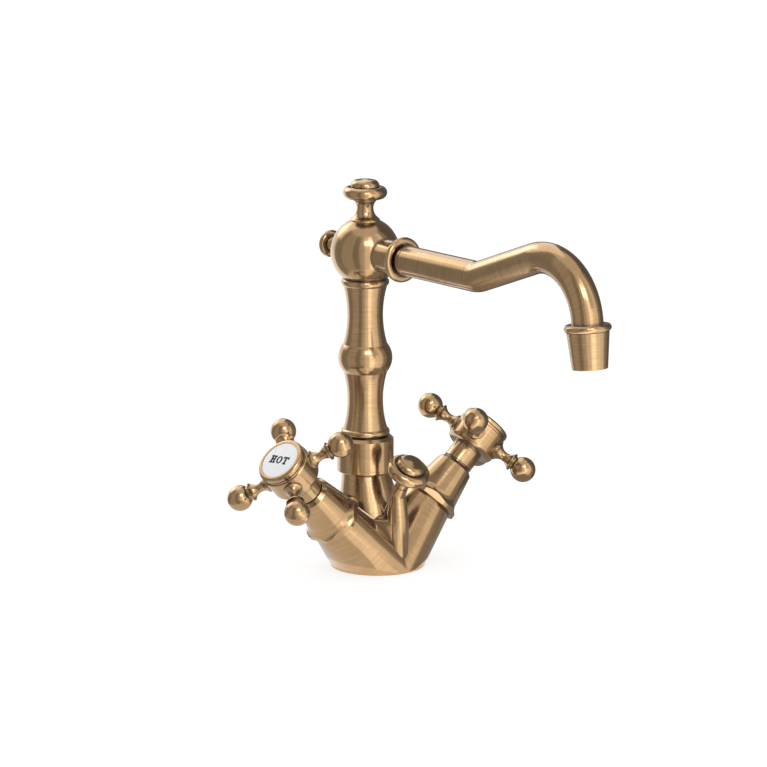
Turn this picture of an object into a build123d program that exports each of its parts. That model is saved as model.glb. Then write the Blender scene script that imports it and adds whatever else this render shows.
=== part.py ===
"""Single-hole bathroom mixer tap: cross handles, swivelling column spout and pop-up lift knob."""

import os
from math import cos, radians, sin, sqrt, tan

from build123d import *

# Foot and deck: the origin is the middle of the foot on the deck, the spout points to -Y
FOOT_RADIUS = 25.4
FOOT_HEIGHT = 1.0
FOOT_ROUND = 0.6
GASKET_OUTER = 23.8
GASKET_INNER = 20.6
GASKET_THICKNESS = 2.0
GASKET_GAP = 0.1

# Clearances between pieces
THREAD_GAP = 0.1
RUNNING_GAP = 0.05
SWIVEL_GAP = 0.3
SEAL_GAP = 0.02

# Underside connections
STUD_HOLE_RADIUS = 3.4
STUD_HOLE_DEPTH = 14.0
STUD_HOLE_FRONT = 13.0
INLET_RADIUS = 4.5
INLET_OFFSET = 14.5
INLET_DEPTH = 12.0
FEED_RADIUS = 3.2
FEED_DEPTH = 23.0

# Column line, neck and union collar
COLUMN_BACK = 10.6
NECK_RADIUS = 12.4
NECK_ROOT_RADIUS = 23.6
COLLAR_RADIUS = 15.1
COLLAR_BOTTOM = 49.5
COLLAR_LENGTH = 19.1
COLLAR_CHAMFER = 1.6
COLLAR_LIP = 4.0
SLIP_RING_THICKNESS = 1.6
COLUMN_FLANGE_THICKNESS = 2.0
COLUMN_STEM_RADIUS = 10.4
SPIGOT_RADIUS = 8.5
SPIGOT_LENGTH = 16.0
WATERWAY_RADIUS = 5.0
MIX_RADIUS = 3.0
O_RING_SECTION = 0.9
O_RING_SPACING = 5.5
O_RING_COUNT = 2

# Column outline, lengths stacked up from the collar
FOOT_BEAD_RADIUS = 13.05
FOOT_BEAD_LENGTH = 3.7
VASE_END_RADIUS = 11.7
VASE_WAIST_RADIUS = 9.45
LOWER_VASE_LENGTH = 30.7
LOWER_WAIST_HEIGHT = 15.2
BALL_RADIUS = 14.4
BALL_LENGTH = 15.0
UPPER_VASE_LENGTH = 31.3
UPPER_WAIST_HEIGHT = 15.9
TOP_BEAD_RADIUS = 12.75
TOP_BEAD_LENGTH = 3.8
HEAD_SPIGOT_RADIUS = 8.0
HEAD_SPIGOT_LENGTH = 8.0

# Ball head and finials
HEAD_RADIUS = 18.25
HEAD_SEAT_HEIGHT = 14.2
TOP_FLANGE_RADIUS = 11.7
TOP_NECK_LENGTH = 6.7
BACK_FLANGE_RADIUS = 7.3
BACK_NECK_LENGTH = 7.0
FINIAL_STUD_RADIUS = 2.5
FINIAL_STUD_LENGTH = 6.0

# Shares of the flange radius that shape every mushroom head
NECK_SHARE = 0.38
FLARE_SHARE = 0.54
FLARE_RISE = 0.36
RIM_SHARE = 0.27
RIM_RISE = 0.70
BUTTON_SHARE = 0.655
GROOVE_RISE = 0.915
BUTTON_WALL_RISE = 1.0
BUTTON_CROWN_SHARE = 0.40
BUTTON_CROWN_RISE = 1.27
HEAD_RISE = 1.32
LIP_SHARE = 0.67
LIP_THICKNESS_SHARE = 0.06

# Spout, distances measured forward from the column line
PORT_BORE_RADIUS = 5.5
PORT_SPIGOT_RADIUS = 7.4
PORT_SPIGOT_LENGTH = 6.0
COLLAR_BOSS_RADIUS = 9.05
ROLLED_LIP_RADIUS = 11.9
ROLLED_LIP_HALF = 1.9
ROLLED_LIP_REACH = 31.6
LIP_RECESS_GAP = 1.25
LIP_RECESS_DEPTH = 3.0
TUBE_RADIUS = 8.0
TUBE_WALL = 1.0
TUBE_START = 19.0
KINK_REACH = 92.9
KINK_ANGLE = 20.0
KINK_RADIUS = 14.0
RISE_LENGTH = 45.7
BEND_RADIUS = 30.5
BEND_ANGLE = 84.0

# Outlet, lengths measured down from the end of the bend
TUBE_TAIL = 8.5
RING_RADIUS = 11.9
RING_HALF = 1.9
RING_DOWN = 3.0
NOZZLE_TOP_RADIUS = 10.75
NOZZLE_END_RADIUS = 8.95
NOZZLE_LENGTH = 23.4
NOZZLE_WALL_END = 0.9
TUBE_STOP = 1.5
AERATOR_RECESS = 0.5
AERATOR_WASHER = 1.5
AERATOR_WALL = 1.2
AERATOR_DECK = 3.0
AERATOR_HOLE_RADIUS = 0.75
AERATOR_SPACING = 2.4
AERATOR_RINGS = 2
AERATOR_RING_STEP = 6

# Valve lines: tilted up from the deck and swept a little forward
VALVE_TILT_ANGLE = 45.0
VALVE_SWEEP_ANGLE = 5.74
VALVE_DROP = 2.0
SEAT_REACH = 45.5
SEAT_RADIUS = 13.5
VALVE_BORE_RADIUS = 9.5
VALVE_BORE_DEPTH = 19.5

# Bonnet, heights above the seat
BONNET_RIM_RADIUS = 15.9
BONNET_RIM_HEIGHT = 2.2
BONNET_FLATS = 29.2
BONNET_COVE_HEIGHT = 7.0
BONNET_BELL_RADIUS = 13.1
BONNET_SHOULDER_RADIUS = 10.2
BONNET_SHOULDER_HEIGHT = 23.6
BONNET_HEIGHT = 25.4
BONNET_WALL = 1.6
BONNET_MOUTH_GAP = 0.45

# Headwork inside the bonnet
HEX_FLATS = 21.0
HEX_HEIGHT = 4.0
TOWER_RADIUS = 7.6
TOWER_HEIGHT = 16.0
SEAL_THICKNESS = 2.0
SEAL_WIDTH = 2.4
DISC_RADIUS = 7.2
DISC_THICKNESS = 2.6
DISC_PORT_RADIUS = 2.2
DISC_PORT_OFFSET = 3.6
CARRIER_HEIGHT = 3.5
SPINDLE_RADIUS = 3.5
DISC_GAP = 0.1

# Handle, reaches along the valve line
CROSS_REACH = 89.3
HUB_RADIUS = 13.7
HUB_BACK = 8.0
HUB_BACK_RADIUS = 10.6
HUB_BACK_ROUND = 3.0
HUB_FRONT = 7.3
HUB_STEP_RADIUS = 13.0
HUB_STEP_HEIGHT = 1.0
HUB_CHAMFER = 0.4
HUB_WEB_BACK = 5.0
HUB_WEB_FRONT = 3.6
HUB_RECESS_RADIUS = 9.6
SLEEVE_RADIUS = 8.3
SLEEVE_NECK_RADIUS = 7.4
SLEEVE_REST_GAP = 1.0
SLEEVE_INSERT = 7.0
SLEEVE_BORE_RADIUS = 5.2
SCREW_HEAD_RADIUS = 4.5
SCREW_HEAD_HEIGHT = 2.2
SCREW_RADIUS = 2.0
SCREW_LENGTH = 9.0
SCREW_SOCKET_FLATS = 3.0
SCREW_SOCKET_DEPTH = 1.3

# Cross arms, reaches outward from the valve line
ARM_COUNT = 4
ARM_TURN_ANGLE = 45.0
ARM_SEAT = 12.7
ARM_SPIGOT_RADIUS = 2.0
ARM_SPIGOT_LENGTH = 4.5
ARM_FOOT_RADIUS = 4.8
ARM_FOOT_THICKNESS = 1.5
ARM_WAIST_RADIUS = 2.45
ARM_WAIST_REACH = 18.6
ARM_COLLAR_RADIUS = 4.9
ARM_COLLAR_REACH = 23.3
ARM_COLLAR_THICKNESS = 0.6
ARM_NECK_RADIUS = 3.8
ARM_BALL_RADIUS = 6.8
ARM_BALL_REACH = 30.8

# Index bezel and porcelain button, heights above the hub front
BEZEL_RADIUS = 13.2
BEZEL_HEIGHT = 3.3
BEZEL_FLOOR = 1.0
BEZEL_FRONT_ROUND = 1.5
BEZEL_BACK_ROUND = 0.4
BEZEL_GROOVE_RADIUS = 12.5
BEZEL_GROOVE_HEIGHT = 0.5
BEZEL_SPIGOT_WALL = 1.6
BEZEL_SPIGOT_LENGTH = 1.4
INDEX_RADIUS = 10.6
INDEX_RIM_HEIGHT = 2.1
INDEX_CROWN = 0.3
INDEX_GAP = 0.1

# Lift rod: leans forward and leaves through the foot
LIFT_LEAN_ANGLE = 32.0
LIFT_FOOT_BACK = 8.6
BOSS_REACH = 49.6
BOSS_RADIUS = 4.0
BOSS_MID_RADIUS = 5.2
BOSS_MID_HEIGHT = 34.0
BOSS_MID_FRONT = 17.1
BOSS_MID_ANGLE = 10.0
BOSS_ROOT_RADIUS = 3.4
BOSS_ROOT_FRONT = 18.8
BOSS_WEB_RADIUS = 3.4
BOSS_WEB_LENGTH = 26.0
GUIDE_HEIGHT = 5.2
GUIDE_SPIGOT_RADIUS = 3.1
GUIDE_SPIGOT_LENGTH = 5.0
GUIDE_TOP_RADIUS = 3.6
ROD_RADIUS = 2.2
ROD_PASSAGE_GAP = 0.3
ROD_END_GAP = 2.0
KNOB_FLANGE_RADIUS = 11.65
KNOB_NECK_RADIUS = 3.4
KNOB_NECK_LENGTH = 2.2
KNOB_REST_GAP = 0.3


def leaning(origin, lean):
    """Plane across the tap whose normal leans forward from upright."""
    return Plane(origin, x_dir=(1, 0, 0), z_dir=(0, -sin(radians(lean)), cos(radians(lean))))


# Worked-out places
column_line = Plane((0, COLUMN_BACK, 0))
collar_top = COLLAR_BOTTOM + COLLAR_LENGTH
bead_bottom = collar_top + SWIVEL_GAP
bead_top = bead_bottom + FOOT_BEAD_LENGTH
ball_bottom = bead_top + LOWER_VASE_LENGTH
ball_top = ball_bottom + BALL_LENGTH
top_bead_bottom = ball_top + UPPER_VASE_LENGTH
column_top = top_bead_bottom + TOP_BEAD_LENGTH
head_height = column_top + HEAD_SEAT_HEIGHT
head_centre = Vector(0, COLUMN_BACK, head_height)
neck_top = collar_top - COLLAR_LIP - SLIP_RING_THICKNESS - COLUMN_FLANGE_THICKNESS
spigot_bottom = neck_top - SPIGOT_LENGTH
lift_line = leaning((0, LIFT_FOOT_BACK, 0), LIFT_LEAN_ANGLE)
boss_top = lift_line.offset(BOSS_REACH)
spout_line = Plane(head_centre, x_dir=(1, 0, 0), z_dir=(0, -1, 0))
back_line = Plane(head_centre, x_dir=(1, 0, 0), z_dir=(0, 1, 0))
top_line = Plane(head_centre)


def valve_line(side):
    """Plane whose normal runs out along one valve, its x towards the front; side is -1 hot, 1 cold."""
    level = cos(radians(VALVE_TILT_ANGLE))
    sweep = radians(VALVE_SWEEP_ANGLE)
    outward = (side * level * cos(sweep), -level * sin(sweep), sin(radians(VALVE_TILT_ANGLE)))
    forward = (-side * sin(sweep), -cos(sweep), 0)
    return Plane((0, 0, -VALVE_DROP), x_dir=forward, z_dir=outward)


def half_section(plane):
    """Drawing plane of a turned piece: x is the radius and y the height along the plane's normal."""
    return Plane(plane.origin, x_dir=plane.x_dir, z_dir=-plane.y_dir)


def turning_axis(plane):
    """Axis that a half section of the plane turns about."""
    return Axis(plane.origin, plane.z_dir)


def chord_height(radius, half_chord):
    """Distance from a circle's centre to a chord."""
    return sqrt(radius**2 - half_chord**2)


def turn(plane, *outline, mode=Mode.ADD):
    """Turn a straight-sided outline of (radius, height) corners into the part being built."""
    with BuildSketch(half_section(plane)) as section:
        with BuildLine():
            Polyline(*outline, close=True)
        make_face()
    revolve(section.sketch, axis=turning_axis(plane), mode=mode)


def drill(plane, radius, depth):
    """Cut a round hole from the plane, down its normal."""
    with BuildSketch(plane) as mouth:
        Circle(radius)
    extrude(mouth.sketch, amount=-depth, mode=Mode.SUBTRACT)


def save(part, label):
    """Name a finished piece and write it out."""
    part.label = label
    export_step(part, f"parts/{label}.step")


os.makedirs("parts", exist_ok=True)


# Valve body: straight-sided ports spread from one round foot, drawn as a hot half and mirrored
def round_face(plane, radius):
    """Disc that starts or ends one port."""
    with BuildSketch(plane) as disc:
        Circle(radius)
    return disc.sketch


def uphill(plane):
    """The same plane with its x along its own steepest line, so that lofted circles start together."""
    return Plane(plane.origin, x_dir=plane.y_dir, z_dir=plane.z_dir)


hot_seat = uphill(valve_line(-1).offset(SEAT_REACH))
hot_root = Plane((0, 0, FOOT_HEIGHT), x_dir=(hot_seat.x_dir.X, hot_seat.x_dir.Y, 0))
neck_root = Plane((0, 0, FOOT_HEIGHT))
neck_seat = column_line.offset(COLLAR_BOTTOM)
boss_root = Plane((0, -BOSS_ROOT_FRONT, FOOT_HEIGHT))
boss_mid = leaning(Vector(0, -BOSS_MID_FRONT, BOSS_MID_HEIGHT), BOSS_MID_ANGLE)
mix_start = Vector(0, COLUMN_BACK, spigot_bottom)

with BuildPart() as valve_body:
    loft([round_face(hot_root, FOOT_RADIUS), round_face(hot_seat, SEAT_RADIUS)], ruled=True)
    loft([round_face(neck_root, NECK_ROOT_RADIUS), round_face(neck_seat, NECK_RADIUS)], ruled=True)
    extrude(round_face(neck_seat, NECK_RADIUS), amount=neck_top - COLLAR_BOTTOM)
    loft(
        [
            round_face(boss_root, BOSS_ROOT_RADIUS),
            round_face(boss_mid, BOSS_MID_RADIUS),
            round_face(boss_top, BOSS_RADIUS),
        ]
    )
    extrude(round_face(boss_top, BOSS_WEB_RADIUS), amount=-BOSS_WEB_LENGTH)
    split(bisect_by=Plane.YZ, keep=Keep.BOTTOM)
    mirror(about=Plane.YZ)
    Cylinder(FOOT_RADIUS, FOOT_HEIGHT, align=(Align.CENTER, Align.CENTER, Align.MIN))
    fillet(edges().group_by(Axis.Z)[0], FOOT_ROUND)
    drill(column_line.offset(neck_top), SPIGOT_RADIUS + RUNNING_GAP, SPIGOT_LENGTH + THREAD_GAP)
    for side in (-1, 1):
        seat = valve_line(side).offset(SEAT_REACH)
        drill(seat, VALVE_BORE_RADIUS, VALVE_BORE_DEPTH)
        way = seat.offset(-VALVE_BORE_DEPTH / 2).origin - mix_start
        drill(Plane(mix_start, z_dir=-way), MIX_RADIUS, way.length)
        inlet = Plane((side * INLET_OFFSET, 0, 0), z_dir=(0, 0, -1))
        drill(inlet, INLET_RADIUS, INLET_DEPTH)
        drill(inlet, FEED_RADIUS, FEED_DEPTH)
    drill(Plane((0, -STUD_HOLE_FRONT, 0), z_dir=(0, 0, -1)), STUD_HOLE_RADIUS, STUD_HOLE_DEPTH)
    drill(boss_top, GUIDE_SPIGOT_RADIUS + RUNNING_GAP, GUIDE_SPIGOT_LENGTH + THREAD_GAP)
    drill(boss_top, ROD_RADIUS + ROD_PASSAGE_GAP, BOSS_REACH + FOOT_RADIUS)
    turn(
        Plane.XY,
        (GASKET_INNER, 0),
        (GASKET_OUTER, 0),
        (GASKET_OUTER, GASKET_THICKNESS),
        (GASKET_INNER, GASKET_THICKNESS),
        mode=Mode.SUBTRACT,
    )
save(valve_body.part, "valve_body")

with BuildPart() as base_gasket:
    turn(
        Plane.XY,
        (GASKET_INNER + GASKET_GAP, 0),
        (GASKET_OUTER - GASKET_GAP, 0),
        (GASKET_OUTER - GASKET_GAP, GASKET_THICKNESS),
        (GASKET_INNER + GASKET_GAP, GASKET_THICKNESS),
    )
save(base_gasket.part, "base_gasket")

# Union collar, its slip ring and the turned column
collar_bore = NECK_RADIUS + THREAD_GAP
collar_hole = COLUMN_STEM_RADIUS + SWIVEL_GAP
lip_bottom = collar_top - COLLAR_LIP

with BuildPart() as union_collar:
    turn(
        column_line,
        (collar_bore, COLLAR_BOTTOM),
        (COLLAR_RADIUS, COLLAR_BOTTOM),
        (COLLAR_RADIUS, collar_top - COLLAR_CHAMFER),
        (COLLAR_RADIUS - COLLAR_CHAMFER, collar_top),
        (collar_hole, collar_top),
        (collar_hole, lip_bottom),
        (collar_bore, lip_bottom),
    )
    bottom_rim = edges().filter_by(GeomType.CIRCLE).group_by(Axis.Z)[0].sort_by(SortBy.RADIUS)[-1]
    fillet(bottom_rim, FOOT_ROUND)
save(union_collar.part, "union_collar")

with BuildPart() as slip_ring:
    turn(
        column_line,
        (collar_hole, lip_bottom - SLIP_RING_THICKNESS + RUNNING_GAP),
        (collar_bore - SWIVEL_GAP, lip_bottom - SLIP_RING_THICKNESS + RUNNING_GAP),
        (collar_bore - SWIVEL_GAP, lip_bottom - RUNNING_GAP),
        (collar_hole, lip_bottom - RUNNING_GAP),
    )
save(slip_ring.part, "slip_ring")

flange_radius = collar_bore - SWIVEL_GAP
flange_top = neck_top + COLUMN_FLANGE_THICKNESS
column_end = column_top + HEAD_SPIGOT_LENGTH
groove_floor = SPIGOT_RADIUS + RUNNING_GAP - SEAL_GAP - 2 * O_RING_SECTION - SEAL_GAP
o_ring_heights = [spigot_bottom + O_RING_SPACING * place for place in range(1, O_RING_COUNT + 1)]

with BuildPart() as column:
    with BuildSketch(half_section(column_line)):
        with BuildLine():
            Polyline(
                (WATERWAY_RADIUS, column_end),
                (WATERWAY_RADIUS, spigot_bottom),
                (SPIGOT_RADIUS, spigot_bottom),
                (SPIGOT_RADIUS, neck_top + RUNNING_GAP),
                (flange_radius, neck_top + RUNNING_GAP),
                (flange_radius, flange_top),
                (COLUMN_STEM_RADIUS, flange_top),
                (COLUMN_STEM_RADIUS, bead_bottom),
                (VASE_END_RADIUS, bead_bottom),
            )
            ThreePointArc(
                (VASE_END_RADIUS, bead_bottom),
                (FOOT_BEAD_RADIUS, (bead_bottom + bead_top) / 2),
                (VASE_END_RADIUS, bead_top),
            )
            ThreePointArc(
                (VASE_END_RADIUS, bead_top),
                (VASE_WAIST_RADIUS, bead_top + LOWER_WAIST_HEIGHT),
                (VASE_END_RADIUS, ball_bottom),
            )
            ThreePointArc(
                (VASE_END_RADIUS, ball_bottom),
                (BALL_RADIUS, (ball_bottom + ball_top) / 2),
                (VASE_END_RADIUS, ball_top),
            )
            ThreePointArc(
                (VASE_END_RADIUS, ball_top),
                (VASE_WAIST_RADIUS, ball_top + UPPER_WAIST_HEIGHT),
                (VASE_END_RADIUS, top_bead_bottom),
            )
            ThreePointArc(
                (VASE_END_RADIUS, top_bead_bottom),
                (TOP_BEAD_RADIUS, (top_bead_bottom + column_top) / 2),
                (VASE_END_RADIUS, column_top),
            )
            Polyline(
                (VASE_END_RADIUS, column_top),
                (HEAD_SPIGOT_RADIUS, column_top),
                (HEAD_SPIGOT_RADIUS, column_end),
                (WATERWAY_RADIUS, column_end),
            )
        make_face()
    revolve(axis=turning_axis(column_line))
    for height in o_ring_heights:
        turn(
            column_line,
            (groove_floor, height - O_RING_SECTION - SEAL_GAP),
            (SPIGOT_RADIUS + O_RING_SECTION, height - O_RING_SECTION - SEAL_GAP),
            (SPIGOT_RADIUS + O_RING_SECTION, height + O_RING_SECTION + SEAL_GAP),
            (groove_floor, height + O_RING_SECTION + SEAL_GAP),
            mode=Mode.SUBTRACT,
        )
save(column.part, "column")

with BuildPart() as column_o_rings:
    for height in o_ring_heights:
        with BuildSketch(half_section(column_line)):
            with Locations((groove_floor + SEAL_GAP + O_RING_SECTION, height)):
                Circle(O_RING_SECTION)
        revolve(axis=turning_axis(column_line))
save(column_o_rings.part, "column_o_rings")

# Ball head: flats under the finials and the spout collar, bored through to the spout
top_lip_radius = LIP_SHARE * TOP_FLANGE_RADIUS
back_lip_radius = LIP_SHARE * BACK_FLANGE_RADIUS
top_flat = top_line.offset(chord_height(HEAD_RADIUS, top_lip_radius))
back_flat = back_line.offset(chord_height(HEAD_RADIUS, back_lip_radius))
spout_flat = spout_line.offset(chord_height(HEAD_RADIUS, COLLAR_BOSS_RADIUS))
head_bottom = Plane((0, COLUMN_BACK, column_top), z_dir=(0, 0, -1))
stud_hole = FINIAL_STUD_RADIUS + THREAD_GAP

with BuildPart() as ball_head:
    with Locations(head_centre):
        Sphere(HEAD_RADIUS)
    for flat in (top_flat, back_flat, spout_flat, head_bottom):
        split(bisect_by=flat, keep=Keep.BOTTOM)
    drill(head_bottom, HEAD_SPIGOT_RADIUS + THREAD_GAP, HEAD_SPIGOT_LENGTH + THREAD_GAP)
    drill(head_bottom, WATERWAY_RADIUS, head_height - column_top)
    drill(spout_flat, PORT_SPIGOT_RADIUS + THREAD_GAP, PORT_SPIGOT_LENGTH + THREAD_GAP)
    drill(spout_flat, PORT_BORE_RADIUS, chord_height(HEAD_RADIUS, COLLAR_BOSS_RADIUS))
    for flat in (top_flat, back_flat):
        drill(flat, stud_hole, FINIAL_STUD_LENGTH + THREAD_GAP)
save(ball_head.part, "ball_head")


# Mushroom heads: two finials and the lift knob share one outline
def mushroom_head(neck, waist, flange):
    """Draw the head from the narrow waist of its neck, at that height, up to the pole."""
    rim = RIM_SHARE * flange
    rim_middle = (flange - rim, waist + RIM_RISE * flange)
    flare = (FLARE_SHARE * flange, waist + FLARE_RISE * flange)
    rim_start = (flare[0], rim_middle[1] - chord_height(rim, rim_middle[0] - flare[0]))
    groove = waist + GROOVE_RISE * flange
    button = BUTTON_SHARE * flange
    crown = (BUTTON_CROWN_SHARE * flange, waist + BUTTON_CROWN_RISE * flange)
    TangentArc((neck, waist), flare, tangent=(0, 1))
    Line(flare, rim_start)
    ThreePointArc(rim_start, (flange, rim_middle[1]), (rim_middle[0], rim_middle[1] + rim))
    Polyline(
        (rim_middle[0], rim_middle[1] + rim),
        (rim_middle[0], groove),
        (button, groove),
        (button, waist + BUTTON_WALL_RISE * flange),
    )
    TangentArc((button, waist + BUTTON_WALL_RISE * flange), crown, tangent=(0, 1))
    Line(crown, (0, waist + HEAD_RISE * flange))
    return waist + HEAD_RISE * flange


def make_finial(flat, flange, waist):
    """Finial with a lipped foot that sits on a flat, held by a stud."""
    lip = LIP_SHARE * flange
    lip_top = LIP_THICKNESS_SHARE * flange
    neck = NECK_SHARE * flange
    with BuildPart() as finial:
        with BuildSketch(half_section(flat)):
            with BuildLine():
                Polyline(
                    (0, -FINIAL_STUD_LENGTH),
                    (FINIAL_STUD_RADIUS, -FINIAL_STUD_LENGTH),
                    (FINIAL_STUD_RADIUS, 0),
                    (lip, 0),
                    (lip, lip_top),
                    (lip - lip_top, lip_top * 2),
                )
                TangentArc((neck, waist), (lip - lip_top, lip_top * 2), tangent=(0, -1))
                top = mushroom_head(neck, waist, flange)
                Line((0, top), (0, -FINIAL_STUD_LENGTH))
            make_face()
        revolve(axis=turning_axis(flat))
    return finial.part


save(make_finial(top_flat, TOP_FLANGE_RADIUS, TOP_NECK_LENGTH), "top_finial")
save(make_finial(back_flat, BACK_FLANGE_RADIUS, BACK_NECK_LENGTH), "back_finial")

# Spout collar: a boss with a rolled lip, screwed into the ball head
boss_start = chord_height(HEAD_RADIUS, COLLAR_BOSS_RADIUS)
tube_bore = TUBE_RADIUS + RUNNING_GAP
lip_recess = TUBE_RADIUS + LIP_RECESS_GAP
lip_front = ROLLED_LIP_REACH + ROLLED_LIP_HALF
lip_back = ROLLED_LIP_REACH - ROLLED_LIP_HALF
lip_middle = ROLLED_LIP_RADIUS - ROLLED_LIP_HALF

with BuildPart() as spout_collar:
    with BuildSketch(half_section(spout_line)):
        with BuildLine():
            Polyline(
                (lip_middle, lip_front),
                (lip_recess, lip_front),
                (lip_recess, lip_front - LIP_RECESS_DEPTH),
                (tube_bore, lip_front - LIP_RECESS_DEPTH),
                (tube_bore, TUBE_START),
                (PORT_BORE_RADIUS, TUBE_START),
                (PORT_BORE_RADIUS, boss_start - PORT_SPIGOT_LENGTH),
                (PORT_SPIGOT_RADIUS, boss_start - PORT_SPIGOT_LENGTH),
                (PORT_SPIGOT_RADIUS, boss_start),
                (COLLAR_BOSS_RADIUS, boss_start),
                (COLLAR_BOSS_RADIUS, lip_back),
                (lip_middle, lip_back),
            )
            ThreePointArc(
                (lip_middle, lip_back),
                (ROLLED_LIP_RADIUS, ROLLED_LIP_REACH),
                (lip_middle, lip_front),
            )
        make_face()
    revolve(axis=turning_axis(spout_line))
save(spout_collar.part, "spout_collar")

# Spout tube: straight run, upward kink, downward bend and a tail in the nozzle
rise = radians(KINK_ANGLE)
drop = radians(BEND_ANGLE)
kink_cut = KINK_RADIUS * tan(rise / 2)
forward_up = Vector(0, -cos(rise), sin(rise))
forward_down = Vector(0, -cos(drop), -sin(drop))
tube_start = spout_line.offset(TUBE_START).origin
kink = spout_line.offset(KINK_REACH).origin
bend_start = kink + forward_up * RISE_LENGTH
bend_centre = bend_start + Vector(0, -sin(rise), -cos(rise)) * BEND_RADIUS
bend_end = bend_centre + Vector(0, -sin(drop), cos(drop)) * BEND_RADIUS
bend_middle_angle = (drop - rise) / 2
bend_middle = bend_centre + Vector(0, -sin(bend_middle_angle), cos(bend_middle_angle)) * BEND_RADIUS
kink_before = kink + Vector(0, kink_cut, 0)
kink_after = kink + forward_up * kink_cut
outlet_line = Plane(bend_end, x_dir=(1, 0, 0), z_dir=forward_down)

with BuildPart() as spout_tube:
    with BuildLine() as spout_path:
        Line(tube_start, kink_before)
        TangentArc(kink_before, kink_after, tangent=(0, -1, 0))
        Line(kink_after, bend_start)
        ThreePointArc(bend_start, bend_middle, bend_end)
        Line(bend_end, bend_end + forward_down * TUBE_TAIL)
    with BuildSketch(spout_line.offset(TUBE_START)):
        Circle(TUBE_RADIUS)
        Circle(TUBE_RADIUS - TUBE_WALL, mode=Mode.SUBTRACT)
    sweep(path=spout_path.wires()[0])
save(spout_tube.part, "spout_tube")

# Outlet nozzle, aerator and washer, all on the end of the tube
ring_top = RING_DOWN - RING_HALF
ring_bottom = RING_DOWN + RING_HALF
ring_middle = RING_RADIUS - RING_HALF
aerator_bore = NOZZLE_END_RADIUS - NOZZLE_WALL_END
stop_radius = TUBE_RADIUS - TUBE_WALL
stop_bottom = TUBE_TAIL + TUBE_STOP
aerator_top = stop_bottom + AERATOR_WASHER
aerator_bottom = NOZZLE_LENGTH - AERATOR_RECESS
aerator_radius = aerator_bore - THREAD_GAP

with BuildPart() as outlet_nozzle:
    with BuildSketch(half_section(outlet_line)):
        with BuildLine():
            ThreePointArc((ring_middle, ring_top), (RING_RADIUS, RING_DOWN), (ring_middle, ring_bottom))
            Polyline(
                (ring_middle, ring_bottom),
                (NOZZLE_TOP_RADIUS, ring_bottom),
                (NOZZLE_END_RADIUS, NOZZLE_LENGTH),
                (aerator_bore, NOZZLE_LENGTH),
                (aerator_bore, stop_bottom),
                (stop_radius, stop_bottom),
                (stop_radius, TUBE_TAIL),
                (tube_bore, TUBE_TAIL),
                (tube_bore, ring_top),
                (ring_middle, ring_top),
            )
        make_face()
    revolve(axis=turning_axis(outlet_line))
    mouth_rim = edges().filter_by(GeomType.CIRCLE).group_by(Axis.Z)[0].sort_by(SortBy.RADIUS)[-1]
    fillet(mouth_rim, NOZZLE_WALL_END / 2)
save(outlet_nozzle.part, "outlet_nozzle")

with BuildPart() as aerator_washer:
    turn(
        outlet_line,
        (stop_radius - AERATOR_WALL, stop_bottom),
        (aerator_radius, stop_bottom),
        (aerator_radius, aerator_top),
        (stop_radius - AERATOR_WALL, aerator_top),
    )
save(aerator_washer.part, "aerator_washer")

with BuildPart() as aerator_insert:
    turn(
        outlet_line,
        (aerator_radius - AERATOR_WALL, aerator_top),
        (aerator_radius, aerator_top),
        (aerator_radius, aerator_bottom),
        (0, aerator_bottom),
        (0, aerator_bottom - AERATOR_DECK),
        (aerator_radius - AERATOR_WALL, aerator_bottom - AERATOR_DECK),
    )
    with BuildSketch(outlet_line.offset(aerator_bottom)):
        Circle(AERATOR_HOLE_RADIUS)
        for ring in range(1, AERATOR_RINGS + 1):
            with PolarLocations(ring * AERATOR_SPACING, ring * AERATOR_RING_STEP):
                Circle(AERATOR_HOLE_RADIUS)
    extrude(amount=-AERATOR_DECK, mode=Mode.SUBTRACT)
save(aerator_insert.part, "aerator_insert")


# Valve fittings, the same on both sides
bore_floor = SEAT_REACH - VALVE_BORE_DEPTH
skirt_bottom = bore_floor + SEAL_THICKNESS
fixed_disc_top = skirt_bottom + DISC_THICKNESS
turning_disc_bottom = fixed_disc_top + RUNNING_GAP
turning_disc_top = turning_disc_bottom + DISC_THICKNESS
carrier_bottom = turning_disc_top + RUNNING_GAP
carrier_top = carrier_bottom + CARRIER_HEIGHT
skirt_floor = carrier_top + DISC_GAP
skirt_bore = DISC_RADIUS + DISC_GAP
shank_radius = VALVE_BORE_RADIUS - THREAD_GAP
hex_top = SEAT_REACH + HEX_HEIGHT
tower_top = SEAT_REACH + TOWER_HEIGHT
bonnet_top = SEAT_REACH + BONNET_HEIGHT
hub_back = CROSS_REACH - HUB_BACK
hub_front = CROSS_REACH + HUB_FRONT
web_back = CROSS_REACH - HUB_WEB_BACK
web_front = CROSS_REACH + HUB_WEB_FRONT
spindle_top = web_front - DISC_GAP


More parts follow.
